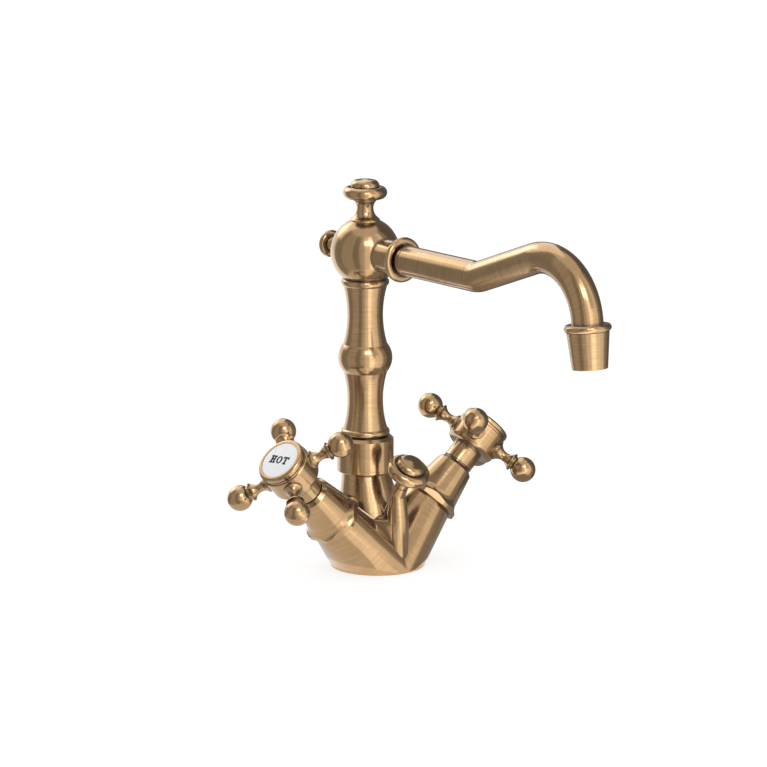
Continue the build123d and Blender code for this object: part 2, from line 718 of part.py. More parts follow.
def make_bonnet(line):
    """Bell-shaped bonnet with six wrench flats on its rim."""
    seat = line.offset(SEAT_REACH)
    cove_end = (BONNET_BELL_RADIUS, BONNET_COVE_HEIGHT)
    shoulder = (BONNET_SHOULDER_RADIUS, BONNET_SHOULDER_HEIGHT)
    bell_slope = Vector(*cove_end) - Vector(*shoulder)
    mouth = SLEEVE_NECK_RADIUS + BONNET_MOUTH_GAP
    thread = TOWER_RADIUS + THREAD_GAP
    cavity = BONNET_FLATS / 2 - BONNET_WALL
    with BuildPart() as bonnet:
        with BuildSketch(half_section(seat)):
            with BuildLine():
                Line((BONNET_RIM_RADIUS, 0), (BONNET_RIM_RADIUS, BONNET_RIM_HEIGHT))
                TangentArc(cove_end, (BONNET_RIM_RADIUS, BONNET_RIM_HEIGHT), tangent=bell_slope)
                Polyline(
                    cove_end,
                    shoulder,
                    (mouth + BONNET_MOUTH_GAP, BONNET_HEIGHT),
                    (mouth, BONNET_HEIGHT),
                    (mouth, TOWER_HEIGHT),
                    (thread, TOWER_HEIGHT),
                    (thread, BONNET_COVE_HEIGHT),
                    (cavity, HEX_HEIGHT + DISC_GAP),
                    (cavity, 0),
                    (BONNET_RIM_RADIUS, 0),
                )
            make_face()
        revolve(axis=turning_axis(seat))
        with BuildSketch(seat):
            RegularPolygon(BONNET_FLATS / 2, 6, major_radius=False)
        extrude(amount=BONNET_HEIGHT, mode=Mode.INTERSECT)
    return bonnet.part


def make_headwork(line):
    """Headwork body: threaded shank, hexagon and the tower that carries the bonnet."""
    with BuildPart() as headwork:
        turn(
            line,
            (skirt_bore, skirt_bottom),
            (shank_radius, skirt_bottom),
            (shank_radius, hex_top),
            (TOWER_RADIUS, hex_top),
            (TOWER_RADIUS, tower_top),
            (SPINDLE_RADIUS + RUNNING_GAP, tower_top),
            (SPINDLE_RADIUS + RUNNING_GAP, skirt_floor),
            (skirt_bore, skirt_floor),
        )
        with BuildSketch(line.offset(SEAT_REACH)):
            RegularPolygon(HEX_FLATS / 2, 6, major_radius=False)
            Circle(TOWER_RADIUS, mode=Mode.SUBTRACT)
        extrude(amount=HEX_HEIGHT)
    return headwork.part


def make_seat_seal(line):
    """Rubber ring between the bore floor and the headwork."""
    with BuildPart() as seal:
        turn(
            line,
            (shank_radius - SEAL_WIDTH, bore_floor),
            (shank_radius, bore_floor),
            (shank_radius, skirt_bottom),
            (shank_radius - SEAL_WIDTH, skirt_bottom),
        )
    return seal.part


def make_disc(line, height):
    """Ceramic disc with two water ports."""
    with BuildPart() as disc:
        with BuildSketch(line.offset(height)):
            Circle(DISC_RADIUS)
            with PolarLocations(DISC_PORT_OFFSET, 2):
                Circle(DISC_PORT_RADIUS, mode=Mode.SUBTRACT)
        extrude(amount=DISC_THICKNESS)
    return disc.part


def make_spindle(line):
    """Spindle: disc carrier, shaft and tapped end."""
    with BuildPart() as spindle:
        turn(
            line,
            (0, carrier_bottom),
            (DISC_RADIUS, carrier_bottom),
            (DISC_RADIUS, carrier_top),
            (SPINDLE_RADIUS, carrier_top),
            (SPINDLE_RADIUS, spindle_top),
            (0, spindle_top),
        )
        drill(line.offset(spindle_top), SCREW_RADIUS + RUNNING_GAP, SCREW_LENGTH + DISC_GAP)
    return spindle.part


def make_sleeve(line):
    """Sleeve that covers the spindle: its neck turns in the bonnet and its body clears it."""
    with BuildPart() as sleeve:
        turn(
            line,
            (SLEEVE_BORE_RADIUS, bonnet_top - SLEEVE_INSERT),
            (SLEEVE_NECK_RADIUS, bonnet_top - SLEEVE_INSERT),
            (SLEEVE_NECK_RADIUS, bonnet_top + SLEEVE_REST_GAP),
            (SLEEVE_RADIUS, bonnet_top + SLEEVE_REST_GAP),
            (SLEEVE_RADIUS, web_back),
            (SLEEVE_BORE_RADIUS, web_back),
        )
    return sleeve.part


def arm_lines(line):
    """Planes of the cross arms, each with its normal pointing outward."""
    cross = line.offset(CROSS_REACH)
    turns = [ARM_TURN_ANGLE + place * 360 / ARM_COUNT for place in range(ARM_COUNT)]
    ways = [cross.x_dir * cos(radians(turned)) + cross.y_dir * sin(radians(turned)) for turned in turns]
    return [Plane(cross.origin, x_dir=cross.z_dir, z_dir=way) for way in ways]


def make_hub(line):
    """Hub: rounded back, spot-faced for the arms, open in front for the screw and bezel."""
    sleeve_hole = SLEEVE_RADIUS + RUNNING_GAP
    step_back = hub_front - HUB_STEP_HEIGHT
    with BuildPart() as hub:
        with BuildSketch(half_section(line)):
            with BuildLine():
                back_edge = (HUB_BACK_RADIUS, hub_back)
                side_edge = (HUB_RADIUS, hub_back + HUB_BACK_ROUND)
                TangentArc(side_edge, back_edge, tangent=(0, -1))
                Polyline(
                    side_edge,
                    (HUB_RADIUS, step_back - HUB_CHAMFER),
                    (HUB_RADIUS - HUB_CHAMFER, step_back),
                    (HUB_STEP_RADIUS, step_back),
                    (HUB_STEP_RADIUS, hub_front),
                    (HUB_RECESS_RADIUS, hub_front),
                    (HUB_RECESS_RADIUS, web_front),
                    (SPINDLE_RADIUS + RUNNING_GAP, web_front),
                    (SPINDLE_RADIUS + RUNNING_GAP, web_back),
                    (sleeve_hole, web_back),
                    (sleeve_hole, hub_back),
                    back_edge,
                )
            make_face()
        revolve(axis=turning_axis(line))
        for arm in arm_lines(line):
            drill(arm.offset(HUB_RADIUS), ARM_FOOT_RADIUS + THREAD_GAP, HUB_RADIUS - ARM_SEAT)
            drill(arm.offset(ARM_SEAT), ARM_SPIGOT_RADIUS + RUNNING_GAP, ARM_SPIGOT_LENGTH + THREAD_GAP)
    return hub.part


def make_arms(line):
    """Four turned arms: spigot, flared foot, waist, sharp collar and ball end."""
    foot_top = ARM_SEAT + ARM_FOOT_THICKNESS
    collar_top = ARM_COLLAR_REACH + ARM_COLLAR_THICKNESS
    ball_start = ARM_BALL_REACH - chord_height(ARM_BALL_RADIUS, ARM_NECK_RADIUS)
    spigot_end = ARM_SEAT - ARM_SPIGOT_LENGTH
    with BuildPart() as arms:
        for arm in arm_lines(line):
            with BuildSketch(half_section(arm)):
                with BuildLine():
                    Polyline(
                        (0, spigot_end),
                        (ARM_SPIGOT_RADIUS, spigot_end),
                        (ARM_SPIGOT_RADIUS, ARM_SEAT),
                        (ARM_FOOT_RADIUS, ARM_SEAT),
                        (ARM_FOOT_RADIUS, foot_top),
                    )
                    waist = (ARM_WAIST_RADIUS, ARM_WAIST_REACH)
                    TangentArc(waist, (ARM_FOOT_RADIUS, foot_top), tangent=(0, -1))
                    TangentArc(waist, (ARM_COLLAR_RADIUS, ARM_COLLAR_REACH), tangent=(0, 1))
                    Polyline(
                        (ARM_COLLAR_RADIUS, ARM_COLLAR_REACH),
                        (ARM_COLLAR_RADIUS, collar_top),
                        (ARM_NECK_RADIUS, collar_top),
                        (ARM_NECK_RADIUS, ball_start),
                    )
                    ThreePointArc(
                        (ARM_NECK_RADIUS, ball_start),
                        (ARM_BALL_RADIUS, ARM_BALL_REACH),
                        (0, ARM_BALL_REACH + ARM_BALL_RADIUS),
                    )
                    Line((0, ARM_BALL_REACH + ARM_BALL_RADIUS), (0, spigot_end))
                make_face()
            revolve(axis=turning_axis(arm))
    return arms.part


def make_bezel(line):
    """Bezel ring that screws into the hub and holds the index button."""
    front = line.offset(hub_front)
    spigot = HUB_RECESS_RADIUS - THREAD_GAP
    bore = spigot - BEZEL_SPIGOT_WALL
    cup = INDEX_RADIUS + INDEX_GAP
    with BuildPart() as bezel:
        turn(
            front,
            (bore, -BEZEL_SPIGOT_LENGTH),
            (spigot, -BEZEL_SPIGOT_LENGTH),
            (spigot, 0),
            (BEZEL_GROOVE_RADIUS, 0),
            (BEZEL_GROOVE_RADIUS, BEZEL_GROOVE_HEIGHT),
            (BEZEL_RADIUS, BEZEL_GROOVE_HEIGHT),
            (BEZEL_RADIUS, BEZEL_HEIGHT),
            (cup, BEZEL_HEIGHT),
            (cup, BEZEL_FLOOR),
            (bore, BEZEL_FLOOR),
        )
        outer_rims = edges().filter_by(GeomType.CIRCLE).group_by(SortBy.RADIUS)[-1]
        back_rim, front_rim = outer_rims.sort_by(turning_axis(line))
        fillet(front_rim, BEZEL_FRONT_ROUND)
        fillet(back_rim, BEZEL_BACK_ROUND)
    return bezel.part


def make_index(line):
    """Porcelain index button with a slightly crowned face."""
    rim = BEZEL_FLOOR + INDEX_RIM_HEIGHT
    pole = (0, rim + INDEX_CROWN)
    front = line.offset(hub_front)
    with BuildPart() as index:
        with BuildSketch(half_section(front)):
            with BuildLine():
                Polyline(pole, (0, BEZEL_FLOOR), (INDEX_RADIUS, BEZEL_FLOOR), (INDEX_RADIUS, rim))
                TangentArc(pole, (INDEX_RADIUS, rim), tangent=(1, 0))
            make_face()
        revolve(axis=turning_axis(front))
    return index.part


def make_screw(line):
    """Socket screw that clamps the hub to the spindle."""
    head_top = web_front + SCREW_HEAD_HEIGHT
    with BuildPart() as screw:
        turn(
            line,
            (0, spindle_top - SCREW_LENGTH),
            (SCREW_RADIUS, spindle_top - SCREW_LENGTH),
            (SCREW_RADIUS, web_front),
            (SCREW_HEAD_RADIUS, web_front),
            (SCREW_HEAD_RADIUS, head_top),
            (0, head_top),
        )
        with BuildSketch(line.offset(head_top)):
            RegularPolygon(SCREW_SOCKET_FLATS / 2, 6, major_radius=False)
        extrude(amount=-SCREW_SOCKET_DEPTH, mode=Mode.SUBTRACT)
    return screw.part


for name, side in (("hot", -1), ("cold", 1)):
    line = valve_line(side)
    save(make_bonnet(line), f"{name}_bonnet")
    save(make_headwork(line), f"{name}_headwork")
    save(make_seat_seal(line), f"{name}_seat_seal")
    save(make_disc(line, skirt_bottom), f"{name}_fixed_disc")
    save(make_disc(line, turning_disc_bottom), f"{name}_turning_disc")
    save(make_spindle(line), f"{name}_spindle")
    save(make_sleeve(line), f"{name}_stem_sleeve")
    save(make_hub(line), f"{name}_handle_hub")
    save(make_arms(line), f"{name}_handle_arms")
    save(make_bezel(line), f"{name}_index_bezel")
    save(make_index(line), f"{name}_index_button")
    save(make_screw(line), f"{name}_handle_screw")

# Lift rod: guide bush on the boss, rod and knob
guide_bore = ROD_RADIUS + RUNNING_GAP
rod_top = GUIDE_HEIGHT + KNOB_REST_GAP
rod_bottom = ROD_END_GAP - BOSS_REACH

with BuildPart() as lift_guide:
    turn(
        boss_top,
        (guide_bore, -GUIDE_SPIGOT_LENGTH),
        (GUIDE_SPIGOT_RADIUS, -GUIDE_SPIGOT_LENGTH),
        (GUIDE_SPIGOT_RADIUS, 0),
        (BOSS_RADIUS, 0),
        (GUIDE_TOP_RADIUS, GUIDE_HEIGHT),
        (guide_bore, GUIDE_HEIGHT),
    )
save(lift_guide.part, "lift_guide")

with BuildPart() as lift_rod:
    turn(
        boss_top,
        (0, rod_bottom),
        (ROD_RADIUS, rod_bottom),
        (ROD_RADIUS, rod_top),
        (0, rod_top),
    )
save(lift_rod.part, "lift_rod")

with BuildPart() as lift_knob:
    with BuildSketch(half_section(boss_top.offset(rod_top))):
        with BuildLine():
            Polyline((0, 0), (KNOB_NECK_RADIUS, 0), (KNOB_NECK_RADIUS, KNOB_NECK_LENGTH))
            knob_top = mushroom_head(KNOB_NECK_RADIUS, KNOB_NECK_LENGTH, KNOB_FLANGE_RADIUS)
            Line((0, knob_top), (0, 0))
        make_face()
    revolve(axis=turning_axis(boss_top))
save(lift_knob.part, "lift_knob")
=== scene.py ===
# %% [markdown]
# # A basin mixer tap in aged brass
# The tap stands on one round foot. Two slanted valves carry cross handles, a turned column carries
# a swan spout, and a small knob in front lifts the waste plug. The solids come in as a finished
# frame, so this lesson is mostly about finishes: brushed and burnished brass, porcelain and enamel.
# Of the tap itself, only the fillets beside the lift rod's boss and the words on the buttons are
# modelled here.

import math

import bpy
from mathutils import Matrix, Vector


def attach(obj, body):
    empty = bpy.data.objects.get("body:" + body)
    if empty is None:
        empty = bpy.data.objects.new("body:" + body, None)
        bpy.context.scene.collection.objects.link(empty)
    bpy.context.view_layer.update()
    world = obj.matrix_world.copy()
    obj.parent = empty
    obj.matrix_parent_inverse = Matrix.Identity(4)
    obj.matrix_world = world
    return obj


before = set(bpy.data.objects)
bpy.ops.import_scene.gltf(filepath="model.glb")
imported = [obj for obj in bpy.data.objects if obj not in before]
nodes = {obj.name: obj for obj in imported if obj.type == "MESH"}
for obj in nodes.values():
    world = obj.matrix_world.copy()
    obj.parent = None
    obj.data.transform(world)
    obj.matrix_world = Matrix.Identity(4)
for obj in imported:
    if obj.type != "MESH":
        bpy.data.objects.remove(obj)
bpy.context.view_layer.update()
print("pieces in the frame:", len(nodes))

# %% [markdown]
# ## The lines that the pieces turn about
# Almost every piece of a tap is turned on a lathe, so the marks of the tool run round its axis.
# The finishes need those axes: the upright column, the spout, the outlet, the lift rod and the two
# valves. They could be measured on the meshes, but the tap's own measures give them exactly. Each
# one is kept as a point and a direction, in metres.

# %% Axes of the turned pieces
MM = 0.001
SIDES = {"hot": -1, "cold": 1}
VALVE_TILT = math.radians(45.0)
VALVE_SWEEP = math.radians(5.74)
VALVE_ROOT = -2.0 * MM
LIFT_LEAN = math.radians(32.0)
LIFT_ROOT = 8.6 * MM
SPOUT_HEIGHT = 167.6 * MM
COLUMN_BACK = 10.6 * MM
OUTLET_PLACE = (0, -166.0 * MM, 157.7 * MM)
OUTLET_DROP = math.radians(84.0)


def valve_axis(side):
    """Direction of one valve, outward and up."""
    level = math.cos(VALVE_TILT)
    return Vector((
        SIDES[side] * level * math.cos(VALVE_SWEEP),
        -level * math.sin(VALVE_SWEEP),
        math.sin(VALVE_TILT),
    ))


AXES = {
    "column": (Vector((0, COLUMN_BACK, 0)), Vector((0, 0, 1))),
    "spout": (Vector((0, COLUMN_BACK, SPOUT_HEIGHT)), Vector((0, -1, 0))),
    "outlet": (
        Vector(OUTLET_PLACE),
        Vector((0, -math.cos(OUTLET_DROP), -math.sin(OUTLET_DROP))),
    ),
    "lift": (
        Vector((0, LIFT_ROOT, 0)),
        Vector((0, -math.sin(LIFT_LEAN), math.cos(LIFT_LEAN))),
    ),
    "hot": (Vector((0, 0, VALVE_ROOT)), valve_axis("hot")),
    "cold": (Vector((0, 0, VALVE_ROOT)), valve_axis("cold")),
}
print("axes:", ", ".join(AXES))

# %% [markdown]
# ## Shared effects
# Three things go into the colour of the turned brass. The lathe leaves fine rings round the axis,
# age changes the tone slowly from place to place, and creases get painted shade, darker where less
# of the open surroundings is in reach. They could be painted as pictures, but these pieces have no
# unwrapped skin to paint on, and a noise is as sharp close by as from afar. Each effect is a node
# group, so that every finish can share it.


# %% Small helpers for node trees
def add_node(tree, kind, **settings):
    """New node with some of its settings."""
    node = tree.nodes.new(kind)
    for key, value in settings.items():
        setattr(node, key, value)
    return node


def feed(tree, node, inputs):
    """Link each given input of a node to a socket, or set it to a plain value; gives the node."""
    for label, value in inputs.items():
        if isinstance(value, bpy.types.NodeSocket):
            tree.links.new(value, node.inputs[label])
        else:
            node.inputs[label].default_value = value
    return node


def math_node(tree, operation, *values):
    """Math on sockets or numbers; gives the output socket."""
    node = add_node(tree, "ShaderNodeMath", operation=operation)
    return feed(tree, node, dict(enumerate(values))).outputs[0]


def vector_node(tree, operation, *vectors):
    """Math on vectors; gives the node, because a length has a socket of its own."""
    node = add_node(tree, "ShaderNodeVectorMath", operation=operation)
    return feed(tree, node, dict(enumerate(vectors)))


def mix_node(tree, kind, share, first, second):
    """Mix of two numbers, vectors or colours: the first where the share is 0, the second at 1."""
    node = add_node(tree, "ShaderNodeMix", data_type=kind)
    return feed(tree, node, {"Factor": share, "A": first, "B": second}).outputs["Result"]


def map_range(tree, value, old_range, new_range, **settings):
    """Carry a number from one range over to another; gives the output socket."""
    node = add_node(tree, "ShaderNodeMapRange", **settings)
    ends = dict(zip(("From Min", "From Max", "To Min", "To Max"), (*old_range, *new_range)))
    return feed(tree, node, {"Value": value, **ends}).outputs["Result"]


def split_xyz(tree, vector):
    """The three numbers of a vector."""
    return feed(tree, add_node(tree, "ShaderNodeSeparateXYZ"), {0: vector}).outputs[:]


def join_xyz(tree, **numbers):
    """Vector from some of its three numbers; what is left out is zero."""
    return feed(tree, add_node(tree, "ShaderNodeCombineXYZ"), numbers).outputs[0]


def object_place(tree):
    """Place of a point on its piece."""
    return add_node(tree, "ShaderNodeTexCoord").outputs["Object"]


# %% Node groups
FULL_RANGE = (0.0, 1.0)


def new_group(name, inputs, result):
    """Node group with named inputs, None for a vector, and one number as its result."""
    group = bpy.data.node_groups.new(name, "ShaderNodeTree")
    for label, value in inputs.items():
        kind = "NodeSocketVector" if value is None else "NodeSocketFloat"
        socket = group.interface.new_socket(label, in_out="INPUT", socket_type=kind)
        if value is not None:
            socket.default_value = value
    group.interface.new_socket(result, in_out="OUTPUT", socket_type="NodeSocketFloat")
    return group, add_node(group, "NodeGroupInput").outputs, add_node(group, "NodeGroupOutput")


def place_group(tree, group, **inputs):
    """Put a group in a tree and feed it; gives its result."""
    return feed(tree, add_node(tree, "ShaderNodeGroup", node_tree=group), inputs).outputs[0]


# %% Rings left by the lathe
RING_STEPS = {"Fine": 3400.0, "Coarse": 1400.0}  # steps of the noise in a metre
RING_SHARE = 0.5
RING_SCALE = 0.9
RING_DETAIL = 1.0
# End faces get rings too, by the radius. It is taken off, and scaled, so that no cone of the tap
# comes out with height and radius in balance and no rings at all.
FACE_RINGS = 0.6


def make_lathe_rings():
    """Rings round the Z axis of the vector that comes in: a noise that is stretched round it."""
    group, given, end = new_group("lathe_rings", {"Vector": None, **RING_STEPS}, "Rings")
    x, y, z = split_xyz(group, given["Vector"])
    flat = join_xyz(group, X=x, Y=y)
    around = vector_node(group, "NORMALIZE", flat).outputs[0]
    reach = vector_node(group, "LENGTH", flat).outputs["Value"]
    along = math_node(group, "SUBTRACT", z, math_node(group, "MULTIPLY", reach, FACE_RINGS))
    rings = []
    for label in RING_STEPS:
        lift = join_xyz(group, Z=math_node(group, "MULTIPLY", along, given[label]))
        place = vector_node(group, "ADD", around, lift).outputs[0]
        noise = add_node(group, "ShaderNodeTexNoise")
        feed(group, noise, {"Vector": place, "Scale": RING_SCALE, "Detail": RING_DETAIL})
        rings.append(math_node(group, "MULTIPLY", noise.outputs["Fac"], RING_SHARE))
    feed(group, end, {"Rings": math_node(group, "ADD", *rings)})
    return group


lathe_rings = make_lathe_rings()
print("group:", lathe_rings.name)

# %% Slow change of tone
CLOUD_DENSITY = 90.0  # clouds in a metre
CLOUD_DETAIL = 4.0
CLOUD_ROUGHNESS = 0.62
CLOUD_RANGE = (0.32, 0.68)


def make_aged_tone():
    """Cloudy tone of a used surface, from 0 where it is dull to 1 where it is rubbed."""
    group, given, end = new_group("aged_tone", {"Vector": None, "Density": CLOUD_DENSITY}, "Tone")
    cloud = add_node(group, "ShaderNodeTexNoise")
    feed(group, cloud, {
        "Vector": given["Vector"],
        "Scale": given["Density"],
        "Detail": CLOUD_DETAIL,
        "Roughness": CLOUD_ROUGHNESS,
    })
    feed(group, end, {"Tone": map_range(group, cloud.outputs["Fac"], CLOUD_RANGE, FULL_RANGE)})
    return group


aged_tone = make_aged_tone()
print("group:", aged_tone.name)

# %% Painted shade in creases
CREASE_REACH = 7.0 * MM
CREASE_SAMPLES = 6
OPENNESS_RANGE = (0.30, 0.85)
CREASE_RANGE = (1.0, 0.0)


def make_crease_shade_mask(name, own_only):
    """Mask of painted shade in creases: 1 deep in a crease, where shade falls, and 0 in the open.
    """
    group, given, end = new_group(name, {"Reach": CREASE_REACH}, "Crease")
    # Painted shade: a point that sees little open space within reach counts as deep in a crease.
    openness = add_node(
        group, "ShaderNodeAmbientOcclusion", samples=CREASE_SAMPLES, only_local=own_only
    )
    feed(group, openness, {"Distance": given["Reach"]})
    crease = map_range(
        group,
        openness.outputs["AO"],
        OPENNESS_RANGE,
        CREASE_RANGE,
        interpolation_type="SMOOTHSTEP",
    )
    feed(group, end, {"Crease": crease})
    return group


# The casting's painted shade looks only at its own shape, so the floor puts no shadow on its foot.
crease_shade_mask = make_crease_shade_mask("crease_shade_mask", own_only=False)
own_crease_shade_mask = make_crease_shade_mask("own_crease_shade_mask", own_only=True)
print("groups:", crease_shade_mask.name, own_crease_shade_mask.name)

# %% [markdown]
# ## Brass
# The metal is one alloy with several finishes under a clear lacquer. Long cylinders and cones are
# brushed on the lathe and look satin. Beads, balls and finials are burnished and show sharper
# reflections. One material with painted wear could serve all of them, but the rings have to run
# round each piece's own axis, so one recipe makes a material for every axis and finish.

# %% Values of the brass
BRASS_DULL = (0.43, 0.264, 0.120, 1)
BRASS_RUBBED = (0.68, 0.425, 0.200, 1)
# Colour of the painted shade in creases.
CREASE_SHADE_COLOUR = (0.11, 0.088, 0.070, 1)
# Brass that shows in other brass is painted greyer and darker than brass that is looked at, a
# painted dimming of the reflections between the pieces.
BRASS_REFLECTION_SHADE = (0.34, 0.28, 0.22, 1)
BRASS_REFLECTION_SHADE_SHARE = 0.85
LACQUER = 0.8
LACQUER_ROUGHNESS = 0.22
HAZE = 0.03
HAZE_ROUGHNESS = 0.6
RING_MIDDLE = 0.5
SHADE_MIDDLE = 0.45
TONE_SHARE = 0.3
SHADE_RANGE = (0.2, 0.9)
RING_RELIEF = 0.1 * MM
FINISHES = {  # roughness where the brass is dull and where it is rubbed
    "satin": {"roughness": (0.24, 0.14), "bump": 0.05, "streaks": 1.6},
    "burnished": {"roughness": (0.21, 0.14), "bump": 0.02, "streaks": 0.9},
}
print("finishes:", ", ".join(FINISHES))


# %% Brass finishes
def new_material(name):
    """Material with its own node tree."""
    material = bpy.data.materials.new(name)
    material.use_nodes = True
    return material


def brass_shade(tree, rings, streaks):
    """Shade of the brass, from 0 where it is dull to 1 where it is rubbed: rings on a cloud."""
    tone = place_group(tree, aged_tone, Vector=object_place(tree))
    shade = math_node(tree, "MULTIPLY", math_node(tree, "SUBTRACT", rings, RING_MIDDLE), streaks)
    shade = math_node(tree, "ADD", shade, SHADE_MIDDLE)
    shade = math_node(tree, "ADD", shade, math_node(tree, "MULTIPLY", tone, TONE_SHARE))
    shade.node.use_clamp = True
    return shade


def brass_colour(tree, shade, crease_shade):
    """Colour: dull to rubbed, painted shade in creases, painted dim reflections of brass in brass.
    """
    colour = mix_node(tree, "RGBA", shade, BRASS_DULL, BRASS_RUBBED)
    # Painted shade: the colour darkens in creases, where the surroundings hide the light.
    colour = mix_node(tree, "RGBA", place_group(tree, crease_shade), colour, CREASE_SHADE_COLOUR)
    # Painted reflection: brass seen in other brass takes the greyer, darker colour.
    mirrored = add_node(tree, "ShaderNodeLightPath").outputs["Is Glossy Ray"]
    mirrored = math_node(tree, "MULTIPLY", mirrored, BRASS_REFLECTION_SHADE_SHARE)
    return mix_node(tree, "RGBA", mirrored, colour, BRASS_REFLECTION_SHADE)


def finish_brass(material, vector, finish, crease_shade=crease_shade_mask):
    """Brass with rings round the Z axis of a vector."""
    tree = material.node_tree
    values = FINISHES[finish]
    rings = place_group(tree, lathe_rings, Vector=vector)
    shade = brass_shade(tree, rings, values["streaks"])
    bump = add_node(tree, "ShaderNodeBump")
    feed(tree, bump, {"Strength": values["bump"], "Distance": RING_RELIEF, "Height": rings})
    feed(tree, tree.nodes["Principled BSDF"], {
        "Metallic": 1.0,
        "Base Color": brass_colour(tree, shade, crease_shade),
        "Roughness": map_range(tree, shade, SHADE_RANGE, values["roughness"]),
        "Normal": bump.outputs["Normal"],
        "Coat Weight": LACQUER,
        "Coat Roughness": LACQUER_ROUGHNESS,
        "Sheen Weight": HAZE,
        "Sheen Roughness": HAZE_ROUGHNESS,
    })


# %% Brass about one axis
def ring_vector(tree, axis):
    """Place of a point seen from one axis: Z runs along it."""
    origin, along = AXES[axis]
    turn = along.to_track_quat("Z", "Y").to_euler()
    mapping = add_node(tree, "ShaderNodeMapping", vector_type="TEXTURE")
    feed(tree, mapping, {"Vector": object_place(tree), "Location": origin, "Rotation": turn})
    return mapping.outputs["Vector"]


def turned_brass(axis, finish):
    """Brass turned about one axis."""
    material = new_material(f"{finish}_brass_{axis}")
    finish_brass(material, ring_vector(material.node_tree, axis), finish)
    return material


def dress(material, *names):
    """Give a material to some pieces of the frame."""
    for name in names:
        slots = nodes[name].data.materials
        slots.clear()
        slots.append(material)
    print(material.name, "on", ", ".join(names))


# %% [markdown]
# ## Turned pieces
# Column, collars, finials, bonnets and handles come from the lathe one by one, and each takes the
# finish that the real one has, about its own axis. A finish per piece would be possible too, but
# pieces on one line share their rings, so one material serves all of them.

# %% Brass on the turned pieces
column_satin = turned_brass("column", "satin")
dress(column_satin, "column", "union_collar")
dress(turned_brass("column", "burnished"), "top_finial")
dress(turned_brass("spout", "satin"), "ball_head")
dress(turned_brass("spout", "burnished"), "spout_collar", "back_finial")
dress(turned_brass("outlet", "satin"), "outlet_nozzle")
dress(turned_brass("lift", "burnished"), "lift_knob", "lift_guide", "lift_rod")
for side in SIDES:
    satin_pieces = (f"{side}_bonnet", f"{side}_stem_sleeve", f"{side}_handle_hub")
    dress(turned_brass(side, "satin"), *satin_pieces)
    dress(turned_brass(side, "burnished"), f"{side}_handle_arms", f"{side}_index_bezel")

# %% [markdown]
# ## Rings that follow a bent tube
# The spout tube runs level, kinks upward and bends down to the outlet. Its brush marks stay square
# to its line. An unwrapped skin along the tube would give that too, but the line is only two
# straights and one arc, so the length along it can be worked out at every point.

# %% Brushed tube
KINK = (-82.3 * MM, SPOUT_HEIGHT)
KINK_RISE = math.radians(20.0)
RISE_LENGTH = 45.7 * MM
BEND_RADIUS = 30.5 * MM
BEND_CENTRE = (
    KINK[0] - RISE_LENGTH * math.cos(KINK_RISE) - BEND_RADIUS * math.sin(KINK_RISE),
    KINK[1] + RISE_LENGTH * math.sin(KINK_RISE) - BEND_RADIUS * math.cos(KINK_RISE),
)
TUBE_OFF_AXIS = 8.0 * MM  # keeps the rings almost the same all round the tube


def slanted(tree, y, z, angle):
    """Length forward along a line in the spout's plane that rises by an angle."""
    level = math_node(tree, "MULTIPLY", y, -math.cos(angle))
    rise = math_node(tree, "MULTIPLY", z, math.sin(angle))
    return math_node(tree, "ADD", level, rise)


def tube_vector(tree):
    """Vector whose Z is the length along the spout tube."""
    x, y, z = split_xyz(tree, object_place(tree))
    y = math_node(tree, "SUBTRACT", y, KINK[0])
    z = math_node(tree, "SUBTRACT", z, KINK[1])
    level = slanted(tree, y, z, 0.0)
    rising = slanted(tree, y, z, KINK_RISE)
    past_kink = math_node(tree, "GREATER_THAN", slanted(tree, y, z, KINK_RISE / 2), 0.0)
    across = math_node(tree, "SUBTRACT", BEND_CENTRE[0] - KINK[0], y)
    above = math_node(tree, "SUBTRACT", z, BEND_CENTRE[1] - KINK[1])
    turned = math_node(tree, "ADD", math_node(tree, "ARCTAN2", across, above), KINK_RISE)
    bending = math_node(tree, "MULTIPLY", turned, BEND_RADIUS)
    bending = math_node(tree, "ADD", bending, RISE_LENGTH)
    past_rise = math_node(tree, "GREATER_THAN", rising, RISE_LENGTH)
    length = mix_node(tree, "FLOAT", past_kink, level, rising)
    length = mix_node(tree, "FLOAT", past_rise, length, bending)
    return join_xyz(tree, X=x, Y=TUBE_OFF_AXIS, Z=length)


brushed_tube = new_material("satin_brass_tube")
finish_brass(brushed_tube, tube_vector(brushed_tube.node_tree), "satin")
dress(brushed_tube, "spout_tube")

# %% [markdown]
# ## Rings on the branched casting
# The casting has four branches that grow from the foot. Each is brushed round its own axis, and the
# marks change at the creases. The branches could be cut apart and dressed one by one, but it is one
# piece of metal, so the material itself finds the branch. The neck is a leaning cone, and a point
# belongs to it when it lies at the cone's radius. The boss of the lift rod is a slim post: above
# its notch the marks run round the rod, below it round the column. The rest is hot or cold by its
# side.

# %% Brushed casting
NECK_BOTTOM = 1.0 * MM
NECK_HEIGHT = 48.5 * MM
NECK_ROOT_RADIUS = 23.6 * MM
NECK_TOP_RADIUS = 12.4 * MM
NECK_TOLERANCE = 0.2 * MM
BOSS_FRONT = -17.5 * MM
BOSS_RADIUS = 5.4 * MM
BOSS_NOTCH = 28.0 * MM


def flat_length(tree, x, y):
    """Distance from the upright line through zero."""
    return vector_node(tree, "LENGTH", join_xyz(tree, X=x, Y=y)).outputs["Value"]


